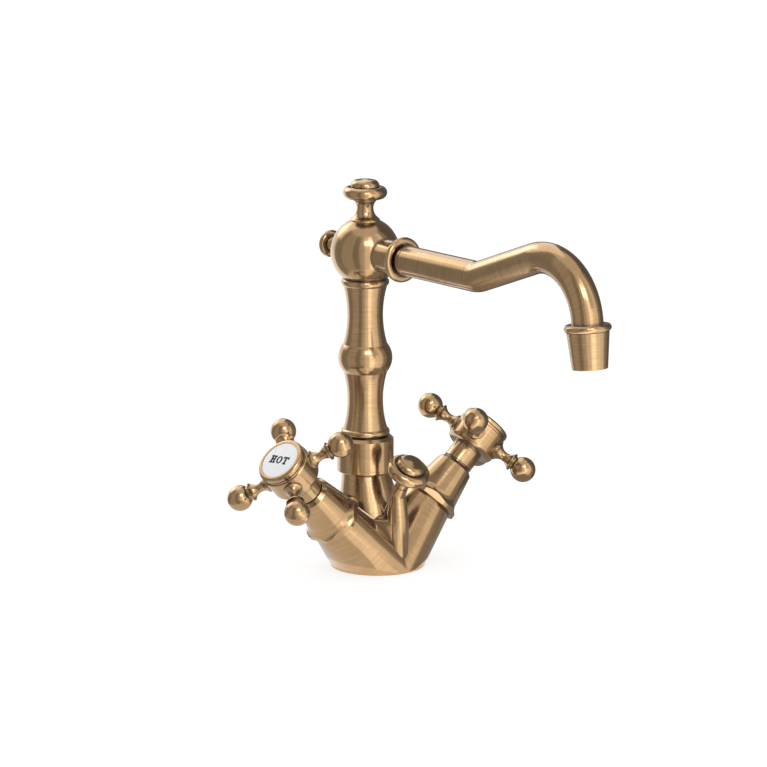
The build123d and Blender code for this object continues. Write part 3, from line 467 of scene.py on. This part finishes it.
def casting_vector(tree):
    """Vector whose Z runs along the branch that a point lies on."""
    x, y, z = split_xyz(tree, object_place(tree))
    height = math_node(tree, "SUBTRACT", z, NECK_BOTTOM)
    height = math_node(tree, "DIVIDE", height, NECK_HEIGHT)
    height.node.use_clamp = True
    middle = math_node(tree, "MULTIPLY", height, COLUMN_BACK)
    reach = flat_length(tree, x, math_node(tree, "SUBTRACT", y, middle))
    taper = math_node(tree, "MULTIPLY", height, NECK_TOP_RADIUS - NECK_ROOT_RADIUS)
    cone = math_node(tree, "ADD", taper, NECK_ROOT_RADIUS)
    off_cone = math_node(tree, "ABSOLUTE", math_node(tree, "SUBTRACT", reach, cone))
    on_neck = math_node(tree, "LESS_THAN", off_cone, NECK_TOLERANCE)
    near_boss = flat_length(tree, x, math_node(tree, "SUBTRACT", y, BOSS_FRONT))
    on_post = math_node(tree, "LESS_THAN", near_boss, BOSS_RADIUS)
    on_boss = math_node(tree, "MULTIPLY", on_post, math_node(tree, "GREATER_THAN", z, BOSS_NOTCH))
    is_cold = math_node(tree, "GREATER_THAN", x, 0.0)
    upright = math_node(tree, "MAXIMUM", on_neck, on_post)
    vector = mix_node(tree, "VECTOR", is_cold, ring_vector(tree, "hot"), ring_vector(tree, "cold"))
    vector = mix_node(tree, "VECTOR", upright, vector, ring_vector(tree, "column"))
    return mix_node(tree, "VECTOR", on_boss, vector, ring_vector(tree, "lift"))


brushed_casting = new_material("satin_brass_casting")
finish_brass(brushed_casting, casting_vector(brushed_casting.node_tree), "satin", own_crease_shade_mask)
dress(brushed_casting, "valve_body")

# %% [markdown]
# ## Fillets beside the boss
# The boss of the lift rod does not stand free all the way down. Below a rounded notch it runs into
# the neck in soft fillets, as branches of a casting do. A bevel would need a clean edge to round,
# and here two leaning shapes only cross. So neck, boss and a wedge between them are drawn again in
# plain shapes and melted together. What then stands proud of the casting is the fillet on either
# side. The middle is cut out for the rod.

# %% Modelling helpers
SMOOTH_ANGLE = math.radians(40)


def block(low, high):
    """Box between two corners."""
    low, high = Vector(low), Vector(high)
    bpy.ops.mesh.primitive_cube_add(size=1, location=(low + high) / 2)
    piece = bpy.context.object
    piece.scale = high - low
    bpy.ops.object.transform_apply(location=True, rotation=False, scale=True)
    return piece


def apply_modifier(piece, kind, **settings):
    """Give a piece a modifier with some settings and apply it; the piece is then the active one."""
    bpy.ops.object.select_all(action="DESELECT")
    bpy.context.view_layer.objects.active = piece
    piece.select_set(True)
    modifier = piece.modifiers.new(kind.lower(), kind)
    for key, value in settings.items():
        setattr(modifier, key, value)
    bpy.ops.object.modifier_apply(modifier=modifier.name)


def combine(piece, other, operation):
    """Join, cut or overlap two pieces; the second one is used up."""
    apply_modifier(piece, "BOOLEAN", operation=operation, object=other)
    bpy.data.objects.remove(other)
    return piece


def select_corners(piece, wanted):
    """Select the corners of a piece that pass a test and stay in edit mode."""
    bpy.ops.object.mode_set(mode="EDIT")
    bpy.ops.mesh.select_mode(type="VERT")
    bpy.ops.mesh.select_all(action="DESELECT")
    bpy.ops.object.mode_set(mode="OBJECT")
    for corner in piece.data.vertices:
        corner.select = wanted(corner.co)
    bpy.ops.object.mode_set(mode="EDIT")


def face_outward():
    """Turn all faces of the active piece outward."""
    bpy.ops.object.mode_set(mode="EDIT")
    bpy.ops.mesh.select_all(action="SELECT")
    bpy.ops.mesh.normals_make_consistent(inside=False)
    bpy.ops.object.mode_set(mode="OBJECT")


# %% Neck, post and wedge
NECK_SIDES = 128
POST_SIDES = 64
POST_RADIUS = 5.0 * MM
WEB_LOW = 4.0 * MM
WEB_TOP = 35.0 * MM
WEDGE_LOW = (-4.5 * MM, -21.6 * MM, 2.0 * MM)
WEDGE_HIGH = (4.5 * MM, -9.5 * MM, 28.0 * MM)
WEDGE_SPREAD = 2.75
WEDGE_FOOT_SHARE = 0.72
WEDGE_LEAN = 1.6 * MM


def leaning_neck():
    """Cone of the neck, its top set back."""
    bpy.ops.mesh.primitive_cone_add(
        vertices=NECK_SIDES,
        radius1=NECK_ROOT_RADIUS,
        radius2=NECK_TOP_RADIUS,
        depth=NECK_HEIGHT,
        location=(0, 0, NECK_BOTTOM + NECK_HEIGHT / 2),
    )
    neck = bpy.context.object
    bpy.ops.object.transform_apply(location=True, rotation=False, scale=False)
    select_corners(neck, lambda place: place.z > NECK_HEIGHT / 2)
    bpy.ops.transform.translate(value=(0, COLUMN_BACK, 0))
    bpy.ops.object.mode_set(mode="OBJECT")
    return neck


def upright_post():
    """Core of the boss."""
    bpy.ops.mesh.primitive_cylinder_add(
        vertices=POST_SIDES,
        radius=POST_RADIUS,
        depth=WEB_TOP - WEB_LOW,
        location=(0, BOSS_FRONT, (WEB_TOP + WEB_LOW) / 2),
    )
    return bpy.context.object


def leaning_wedge():
    """Wedge that spreads towards the neck, narrows towards the foot and leans back."""
    wedge = block(WEDGE_LOW, WEDGE_HIGH)
    middle = (Vector(WEDGE_LOW) + Vector(WEDGE_HIGH)) / 2
    select_corners(wedge, lambda place: place.y > middle.y)
    bpy.ops.transform.resize(value=(WEDGE_SPREAD, 1, 1), center_override=middle)
    select_corners(wedge, lambda place: place.z < middle.z)
    bpy.ops.transform.resize(value=(WEDGE_FOOT_SHARE, 1, 1), center_override=middle)
    select_corners(wedge, lambda place: place.z > middle.z)
    bpy.ops.transform.translate(value=(0, WEDGE_LEAN, 0))
    bpy.ops.object.mode_set(mode="OBJECT")
    return wedge


neck_lean = math.degrees(math.atan2(COLUMN_BACK, NECK_HEIGHT))
print("the neck leans back by", round(neck_lean, 1), "degrees")

# %% Boss fillets
WEB_FRONT = -26.0 * MM
WEB_BACK = -8.5 * MM
WEB_HALF_WIDTH = 12.0 * MM
WEB_VOXEL = 0.5 * MM
WEB_MELT = {"factor": 0.5, "iterations": 70}
ROD_HALF_WIDTH = 3.3 * MM
ROD_MARGIN = 5.0 * MM


def make_boss_web():
    """Neck and boss melted together and cut down to the fillets beside the boss."""
    bpy.ops.object.select_all(action="DESELECT")
    web = leaning_neck()
    web.name = "boss_web"
    combine(web, upright_post(), "UNION")
    combine(web, leaning_wedge(), "UNION")
    near = block((-WEB_HALF_WIDTH, WEB_FRONT, WEB_LOW), (WEB_HALF_WIDTH, WEB_BACK, WEB_TOP))
    combine(web, near, "INTERSECT")
    apply_modifier(web, "REMESH", mode="VOXEL", voxel_size=WEB_VOXEL)
    apply_modifier(web, "SMOOTH", **WEB_MELT)
    rod_room = block(
        (-ROD_HALF_WIDTH, WEB_FRONT, 0),
        (ROD_HALF_WIDTH, WEB_BACK + ROD_MARGIN, WEB_TOP + ROD_MARGIN),
    )
    combine(web, rod_room, "DIFFERENCE")
    face_outward()
    bpy.ops.object.shade_smooth_by_angle(angle=SMOOTH_ANGLE)
    web.data.materials.append(column_satin)
    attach(web, "base")
    return web


print("fillet faces:", len(make_boss_web().data.polygons))

# %% [markdown]
# ## Porcelain index buttons
# The buttons are white glazed porcelain: almost even in colour, a little cloudy under the glaze,
# and smooth enough to show the lamps. A picture of china would do, but a cloud between two close
# tones that also moves the gloss is enough for so small a piece.

# %% Porcelain
PORCELAIN_DARK = (0.84, 0.85, 0.87, 1)
PORCELAIN_LIGHT = (0.88, 0.89, 0.90, 1)
PORCELAIN_ROUGHNESS = (0.12, 0.20)
PORCELAIN_CLOUDS = 260.0


def cloudy_finish(name, dark, light, roughness, clouds, metallic=0.0):
    """Finish with a cloudy colour between two tones and an uneven gloss."""
    material = new_material(name)
    tree = material.node_tree
    tone = place_group(tree, aged_tone, Vector=object_place(tree), Density=clouds)
    feed(tree, tree.nodes["Principled BSDF"], {
        "Metallic": metallic,
        "Base Color": mix_node(tree, "RGBA", tone, dark, light),
        "Roughness": map_range(tree, tone, FULL_RANGE, roughness),
    })
    return material


porcelain = cloudy_finish(
    "white_porcelain", PORCELAIN_DARK, PORCELAIN_LIGHT, PORCELAIN_ROUGHNESS, PORCELAIN_CLOUDS
)
dress(porcelain, "hot_index_button", "cold_index_button")


# %% [markdown]
# ## Hidden pieces
# Seals, discs and the inner works hardly show, but someone may take the tap apart, so they get a
# rubber, a moulded, a ceramic and a bare metal look of their own. One grey would hide that they are
# different things. The recipe of the porcelain serves them all, with other tones.

# %% Rubber, moulded, ceramic and plain metal pieces
def grey(level):
    """Colour without a hue."""
    return (level, level, level, 1)


HIDDEN_FINISHES = [  # name, two tones, roughness, clouds in a metre, metallic
    ("black_rubber", grey(0.012), grey(0.03), (0.6, 0.8), 400.0, 0.0),
    ("pale_moulding", (0.62, 0.62, 0.60, 1), (0.70, 0.70, 0.68, 1), (0.35, 0.5), 300.0, 0.0),
    ("grey_moulding", grey(0.20), grey(0.27), (0.35, 0.5), 300.0, 0.0),
    ("valve_ceramic", (0.72, 0.71, 0.68, 1), (0.78, 0.77, 0.74, 1), (0.3, 0.4), 300.0, 0.0),
    ("bare_brass", (0.60, 0.43, 0.19, 1), (0.72, 0.54, 0.26, 1), (0.25, 0.35), 200.0, 1.0),
    ("plain_steel", (0.45, 0.45, 0.46, 1), (0.58, 0.58, 0.59, 1), (0.25, 0.4), 300.0, 1.0),
]
HIDDEN_PIECES = {
    "black_rubber": ["base_gasket", "column_o_rings", "aerator_washer"],
    "pale_moulding": ["slip_ring"],
    "grey_moulding": ["aerator_insert"],
}
VALVE_PIECES = {
    "black_rubber": ["seat_seal"],
    "valve_ceramic": ["fixed_disc", "turning_disc"],
    "bare_brass": ["headwork", "spindle"],
    "plain_steel": ["handle_screw"],
}
for values in HIDDEN_FINISHES:
    name = values[0]
    in_valves = [f"{side}_{piece}" for side in SIDES for piece in VALVE_PIECES.get(name, [])]
    dress(cloudy_finish(*values), *HIDDEN_PIECES.get(name, []), *in_valves)

# %% [markdown]
# ## Lettering
# Each button says which water it gives, in black enamel capitals with slab feet. A typeface could
# be set as text, but a letter this small is only a few strokes: bars and rings are laid flat, fused
# into one skin and set on the crown of the button, a little proud of the glaze.

# %% Bars and rings of the letters
LETTER_HEIGHT = 4.6 * MM
STEM = 1.1 * MM
SLAB = 0.72 * MM
SLAB_REACH = 0.55 * MM
STEM_INSET = SLAB_REACH + STEM / 2
ENAMEL = 0.3 * MM
CUTTER = 3 * ENAMEL
OVAL_SIDES = 48


def bar(left, bottom, right, top, depth=ENAMEL):
    """Flat bar, as thick as the enamel unless it is to cut."""
    return block((left, bottom, -depth / 2), (right, top, depth / 2))


def stem_with_feet(x, top=True):
    """Upright stem with a slab foot below and, if wanted, one on top."""
    pieces = [bar(x - STEM / 2, 0, x + STEM / 2, LETTER_HEIGHT)]
    pieces.append(bar(x - STEM_INSET, 0, x + STEM_INSET, SLAB))
    if top:
        pieces.append(bar(x - STEM_INSET, LETTER_HEIGHT - SLAB, x + STEM_INSET, LETTER_HEIGHT))
    return pieces


def oval(middle, half_width, half_height, depth):
    """Flat oval at half the height of the letters."""
    place = (middle, LETTER_HEIGHT / 2, 0)
    bpy.ops.mesh.primitive_cylinder_add(
        vertices=OVAL_SIDES, radius=1, depth=depth, location=place
    )
    piece = bpy.context.object
    piece.scale = (half_width, half_height, 1)
    bpy.ops.object.transform_apply(location=True, rotation=False, scale=True)
    return piece


def bowl(middle, half_width):
    """Oval ring that is wider at its sides than at its top."""
    tall = LETTER_HEIGHT / 2
    hole = oval(middle, half_width - STEM, tall - SLAB, CUTTER)
    return combine(oval(middle, half_width, tall, ENAMEL), hole, "DIFFERENCE")


print("letters:", round(LETTER_HEIGHT / MM, 2), "mm high, stems", round(STEM / MM, 2), "mm wide")

# %% Capitals
T_DROP = 1.4 * MM
L_RISE = 1.5 * MM
C_MOUTH_LEFT = 0.7  # share of the letter's width
C_MOUTH_LOW = 0.3 * LETTER_HEIGHT
C_MOUTH_HIGH = 0.68 * LETTER_HEIGHT
C_BEAK_LOW = 0.62 * LETTER_HEIGHT


def draw_h(x, width):
    """Two stems and a bar between them."""
    left, right = x + STEM_INSET, x + width - STEM_INSET
    low = (LETTER_HEIGHT - SLAB) / 2
    return stem_with_feet(left) + stem_with_feet(right) + [bar(left, low, right, low + SLAB)]


def draw_o(x, width):
    """One bowl."""
    return [bowl(x + width / 2, width / 2)]


def draw_t(x, width):
    """A stem under a bar with a short drop at each end."""
    pieces = stem_with_feet(x + width / 2, top=False)
    pieces.append(bar(x, LETTER_HEIGHT - SLAB, x + width, LETTER_HEIGHT))
    for edge in (x, x + width - SLAB):
        pieces.append(bar(edge, LETTER_HEIGHT - T_DROP, edge + SLAB, LETTER_HEIGHT))
    return pieces


def draw_c(x, width):
    """A bowl with its right side cut open and a beak above the gap."""
    mouth = bar(x + C_MOUTH_LEFT * width, C_MOUTH_LOW, x + 2 * width, C_MOUTH_HIGH, CUTTER)
    pieces = [combine(bowl(x + width / 2, width / 2), mouth, "DIFFERENCE")]
    pieces.append(bar(x + width - SLAB, C_BEAK_LOW, x + width, LETTER_HEIGHT))
    return pieces


def draw_l(x, width):
    """A stem and a bar along the foot with a short rise at its end."""
    pieces = stem_with_feet(x + STEM_INSET)
    pieces.append(bar(x + SLAB_REACH, 0, x + width, SLAB))
    pieces.append(bar(x + width - SLAB, 0, x + width, L_RISE))
    return pieces


def draw_d(x, width):
    """A stem and the right half of a bowl."""
    spine = x + STEM_INSET
    left_half = bar(x - 2 * width, -LETTER_HEIGHT, spine, 2 * LETTER_HEIGHT, CUTTER)
    pieces = stem_with_feet(spine)
    pieces.append(combine(bowl(spine, width - STEM_INSET), left_half, "DIFFERENCE"))
    return pieces


LETTERS = {
    "H": (draw_h, 4.0 * MM),
    "O": (draw_o, 3.8 * MM),
    "T": (draw_t, 3.9 * MM),
    "C": (draw_c, 3.6 * MM),
    "L": (draw_l, 3.5 * MM),
    "D": (draw_d, 3.9 * MM),
}
print("capitals:", ", ".join(LETTERS))

# %% Words on the buttons
LETTER_GAP = 0.35 * MM
LETTER_VOXEL = 0.07 * MM
LETTER_TURN = math.radians(4.0)
ENAMEL_PROUD = 0.06 * MM
ENAMEL_DARK = grey(0.002)
ENAMEL_LIGHT = grey(0.005)
ENAMEL_ROUGHNESS = (0.4, 0.5)
ENAMEL_CLOUDS = 900.0
ENAMEL_SHINE = 0.2


def button_place(side):
    """Matrix that lays flat writing on the crown of a button, to be read from the valve's side."""
    origin, outward = AXES[side]
    button = nodes[f"{side}_index_button"].data
    crown = max((corner.co - origin).dot(outward) for corner in button.vertices)
    right = Vector((math.sin(VALVE_SWEEP), SIDES[side] * math.cos(VALVE_SWEEP), 0))
    turn = Matrix((right, outward.cross(right), outward)).transposed().to_4x4()
    place = origin + outward * (crown + ENAMEL_PROUD - ENAMEL / 2)
    return Matrix.Translation(place) @ turn @ Matrix.Rotation(LETTER_TURN, 4, "Z")


def make_word(word, side):
    """Fuse a word's bars into one skin and set it on its button."""
    bpy.ops.object.select_all(action="DESELECT")
    pieces, x = [], 0.0
    for sign in word:
        draw, width = LETTERS[sign]
        pieces += draw(x, width)
        x += width + LETTER_GAP
    bpy.ops.object.select_all(action="DESELECT")
    for piece in pieces:
        piece.select_set(True)
    bpy.context.view_layer.objects.active = pieces[0]
    bpy.ops.object.join()
    lettering = bpy.context.object
    lettering.name = f"{side}_lettering"
    bpy.ops.object.transform_apply(location=True, rotation=True, scale=True)
    face_outward()
    apply_modifier(lettering, "REMESH", mode="VOXEL", voxel_size=LETTER_VOXEL)
    middle = Vector(((x - LETTER_GAP) / 2, LETTER_HEIGHT / 2, 0))
    lettering.data.transform(button_place(side) @ Matrix.Translation(-middle))
    bpy.ops.object.shade_smooth_by_angle(angle=SMOOTH_ANGLE)
    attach(lettering, f"{side}_handle")
    return lettering


enamel = cloudy_finish(
    "black_enamel", ENAMEL_DARK, ENAMEL_LIGHT, ENAMEL_ROUGHNESS, ENAMEL_CLOUDS
)
enamel_shader = enamel.node_tree.nodes["Principled BSDF"]
enamel_shader.inputs["Specular IOR Level"].default_value = ENAMEL_SHINE
for word, side in (("HOT", "hot"), ("COLD", "cold")):
    lettering = make_word(word, side)
    lettering.data.materials.append(enamel)
    print(lettering.name, "has", len(lettering.data.polygons), "faces")

# %% [markdown]
# ## Studio
# A tap is pictured on plain white. More light would make the floor white too, but it would bleach
# the brass, so floor and world glow white only for rays that come from the camera, off metal or
# through glass. Under its glow the floor is a plain grey that keeps the soft shadow of the tap.

# %% Floor
FLOOR_SIZE = 12.0
FLOOR_DROP = 0.2 * MM
FLOOR_GREY = 0.35
FLOOR_GLOW = 0.74


def looked_at(tree):
    """1 for rays that come from the camera, off metal or through glass, and 0 for other light."""
    rays = add_node(tree, "ShaderNodeLightPath").outputs
    seen = math_node(tree, "MAXIMUM", rays["Is Camera Ray"], rays["Is Glossy Ray"])
    return math_node(tree, "MAXIMUM", seen, rays["Is Transmission Ray"])


def make_floor():
    """Pale floor that is white to the camera and keeps a soft shadow."""
    bpy.ops.object.select_all(action="DESELECT")
    bpy.ops.mesh.primitive_plane_add(size=FLOOR_SIZE, location=(0, 0, -FLOOR_DROP))
    floor = bpy.context.object
    floor.name = "floor"
    material = new_material("pale_floor")
    tree = material.node_tree
    tree.nodes.clear()
    diffuse = feed(tree, add_node(tree, "ShaderNodeBsdfDiffuse"), {"Color": grey(FLOOR_GREY)})
    strength = math_node(tree, "MULTIPLY", looked_at(tree), FLOOR_GLOW)
    glow = feed(tree, add_node(tree, "ShaderNodeEmission"), {"Strength": strength})
    both = add_node(tree, "ShaderNodeAddShader")
    feed(tree, both, {0: diffuse.outputs[0], 1: glow.outputs[0]})
    feed(tree, add_node(tree, "ShaderNodeOutputMaterial"), {"Surface": both.outputs[0]})
    floor.data.materials.append(material)
    return floor


print("floor:", make_floor().name)

# %% World
WORLD_LEVEL = 0.9


def make_world():
    """White to the camera and in reflections, plain soft light elsewhere."""
    world = bpy.data.worlds.new("studio")
    bpy.context.scene.world = world
    world.use_nodes = True
    tree = world.node_tree
    strength = mix_node(tree, "FLOAT", looked_at(tree), WORLD_LEVEL, 1.0)
    feed(tree, tree.nodes["Background"], {"Color": grey(1.0), "Strength": strength})
    return world


print("world:", make_world().name)

# %% [markdown]
# ## Cards and lamps
# Metal is drawn by what stands round it, and in a white room it would look flat. A picture of a
# studio on the world could give it bands, but cards are easier to place: grey ones lie on the floor
# and stand round the tap in sectors, a bright one stands right of the camera, and the left back
# stays open to the white. The cards only show in reflections. Three soft lamps light the rest.

# %% Cards
CAMERA_SIDE = (-0.6217, -0.7833)
CARD_TURN = math.atan2(CAMERA_SIDE[1], CAMERA_SIDE[0])
# Outlines in reach from the tap and height, in metres.
CARD_SHAPE = [(0.13, 0.0), (2.7, 0.0), (2.7, 1.5), (1.5, 2.5)]
NEAR_SHAPE = [(0.03, 0.0), (0.13, 0.0)]
HIGH_SHAPE = [(2.6, 0.95), (2.6, 1.45), (1.45, 2.42)]
SKY_SHAPE = [(2.6, 1.15), (2.6, 1.45), (1.45, 2.42), (0.3, 2.44)]
CARDS = [  # name, start and end in degrees to the right of the camera, grey, outline
    ("left_card", -122, -84, 0.29, CARD_SHAPE),
    ("soft_left_card", -84, -42, 0.45, CARD_SHAPE),
    ("front_left_card", -42, -20, 0.27, CARD_SHAPE),
    ("front_card", -20, -2, 0.55, CARD_SHAPE),
    ("pale_card", -2, 18, 0.95, CARD_SHAPE),
    ("bright_card", 18, 40, 1.85, CARD_SHAPE),
    ("front_right_card", 40, 60, 1.2, CARD_SHAPE),
    ("soft_right_card", 60, 82, 0.98, CARD_SHAPE),
    ("right_card", 82, 104, 0.32, CARD_SHAPE),
    ("back_right_card", 104, 188, 0.13, CARD_SHAPE),
    ("near_left_card", -122, 0, 0.72, NEAR_SHAPE),
    ("near_front_card", 0, 42, 1.25, NEAR_SHAPE),
    ("near_right_card", 42, 188, 0.30, NEAR_SHAPE),
    ("high_right_card", 32, 62, 0.65, HIGH_SHAPE),
    ("sky_card", 172, 252, 1.2, SKY_SHAPE),
]
CARD_STEPS = 12


def only_reflected(card, level):
    """Make a card an even grey that shows in reflections and nowhere else."""
    material = new_material(f"{card.name}_grey")
    tree = material.node_tree
    tree.nodes.clear()
    glow = feed(tree, add_node(tree, "ShaderNodeEmission"), {"Color": grey(level)})
    feed(tree, add_node(tree, "ShaderNodeOutputMaterial"), {"Surface": glow.outputs[0]})
    card.data.materials.append(material)
    card.visible_camera = False
    card.visible_diffuse = False
    card.visible_shadow = False
    card.visible_transmission = False
    card.visible_volume_scatter = False
    print(card.name, "with", len(card.data.polygons), "faces and grey", level)


def make_card(name, start, end, level, shape):
    """Card over one sector: an outline that is spun about the tap."""
    bpy.ops.object.select_all(action="DESELECT")
    bpy.ops.mesh.primitive_plane_add(size=1)
    card = bpy.context.object
    card.name = name
    bearing = CARD_TURN + math.radians(start)
    bpy.ops.object.mode_set(mode="EDIT")
    bpy.ops.mesh.merge(type="CENTER")
    last = Vector((0, 0, 0))
    for place, (reach, height) in enumerate(shape):
        corner = Vector((reach * math.cos(bearing), reach * math.sin(bearing), height))
        if place:
            bpy.ops.mesh.extrude_region_move(TRANSFORM_OT_translate={"value": corner - last})
        else:
            bpy.ops.transform.translate(value=corner)
        last = corner
    bpy.ops.mesh.select_all(action="SELECT")
    # Spin turns clockwise, so the angle is negative.
    bpy.ops.mesh.spin(
        steps=CARD_STEPS, angle=math.radians(start - end), center=(0, 0, 0), axis=(0, 0, 1)
    )
    bpy.ops.object.mode_set(mode="OBJECT")
    only_reflected(card, level)


for card_values in CARDS:
    make_card(*card_values)

# %% Ceiling
CEILING_HEIGHT = 2.5
CEILING_RADIUS = 1.5
CEILING_SIDES = 32
CEILING_GREY = 0.70
bpy.ops.object.select_all(action="DESELECT")
bpy.ops.mesh.primitive_circle_add(
    vertices=CEILING_SIDES,
    radius=CEILING_RADIUS,
    fill_type="NGON",
    location=(0, 0, CEILING_HEIGHT),
)
ceiling = bpy.context.object
ceiling.name = "ceiling_card"
only_reflected(ceiling, CEILING_GREY)

# %% Lamps
LAMPS = [  # name, degrees to the right of the camera, degrees up, reach, size, power
    ("twin_lamp_left", 6, 38, 1.7, (0.30, 0.42), 1.6),
    ("twin_lamp_right", 22, 38, 1.7, (0.30, 0.42), 1.6),
    ("side_lamp", -140, 30, 1.8, (0.8, 0.8), 2.5),
]
LAMP_AIM = Vector((0, 0, 0.1))


def make_lamp(name, turn, rise, reach, shape, power):
    """Soft lamp at a bearing from the camera, aimed at the middle of the tap."""
    light = bpy.data.lights.new(name, "AREA")
    light.shape = "RECTANGLE"
    light.size, light.size_y = shape
    light.energy = power
    lamp = bpy.data.objects.new(name, light)
    bpy.context.scene.collection.objects.link(lamp)
    bearing, rise = CARD_TURN + math.radians(turn), math.radians(rise)
    level = math.cos(rise)
    way = Vector((level * math.cos(bearing), level * math.sin(bearing), math.sin(rise)))
    lamp.location = LAMP_AIM + way * reach
    lamp.rotation_euler = way.to_track_quat("Z", "Y").to_euler()
    return lamp


for lamp_values in LAMPS:
    print("lamp:", make_lamp(*lamp_values).name)

# %% [markdown]
# ## Camera
# The picture is taken from well back with a long lens, so that upright lines stay upright and both
# handles keep their size. A camera close by would swell the near handle. It is placed by its aim
# and by the way back from there, because both can then be changed alone.

# %% Camera
TARGET = Vector((0, -4.976, 99.119)) * MM
CAMERA_BACK = Vector((-0.60735, -0.76520, 0.21369)).normalized()
CAMERA_REACH = 2034.7 * MM
SENSOR_WIDTH = 36.0
LENS = 181.45
camera_data = bpy.data.cameras.new("camera")
camera_data.sensor_width = SENSOR_WIDTH
camera_data.lens = LENS
camera = bpy.data.objects.new("camera", camera_data)
bpy.context.scene.collection.objects.link(camera)
camera.location = TARGET + CAMERA_BACK * CAMERA_REACH
camera.rotation_euler = CAMERA_BACK.to_track_quat("Z", "Y").to_euler()
bpy.context.scene.camera = camera
bpy.context.scene.view_settings.view_transform = "Standard"
print("camera at", tuple(round(value, 3) for value in camera.location))
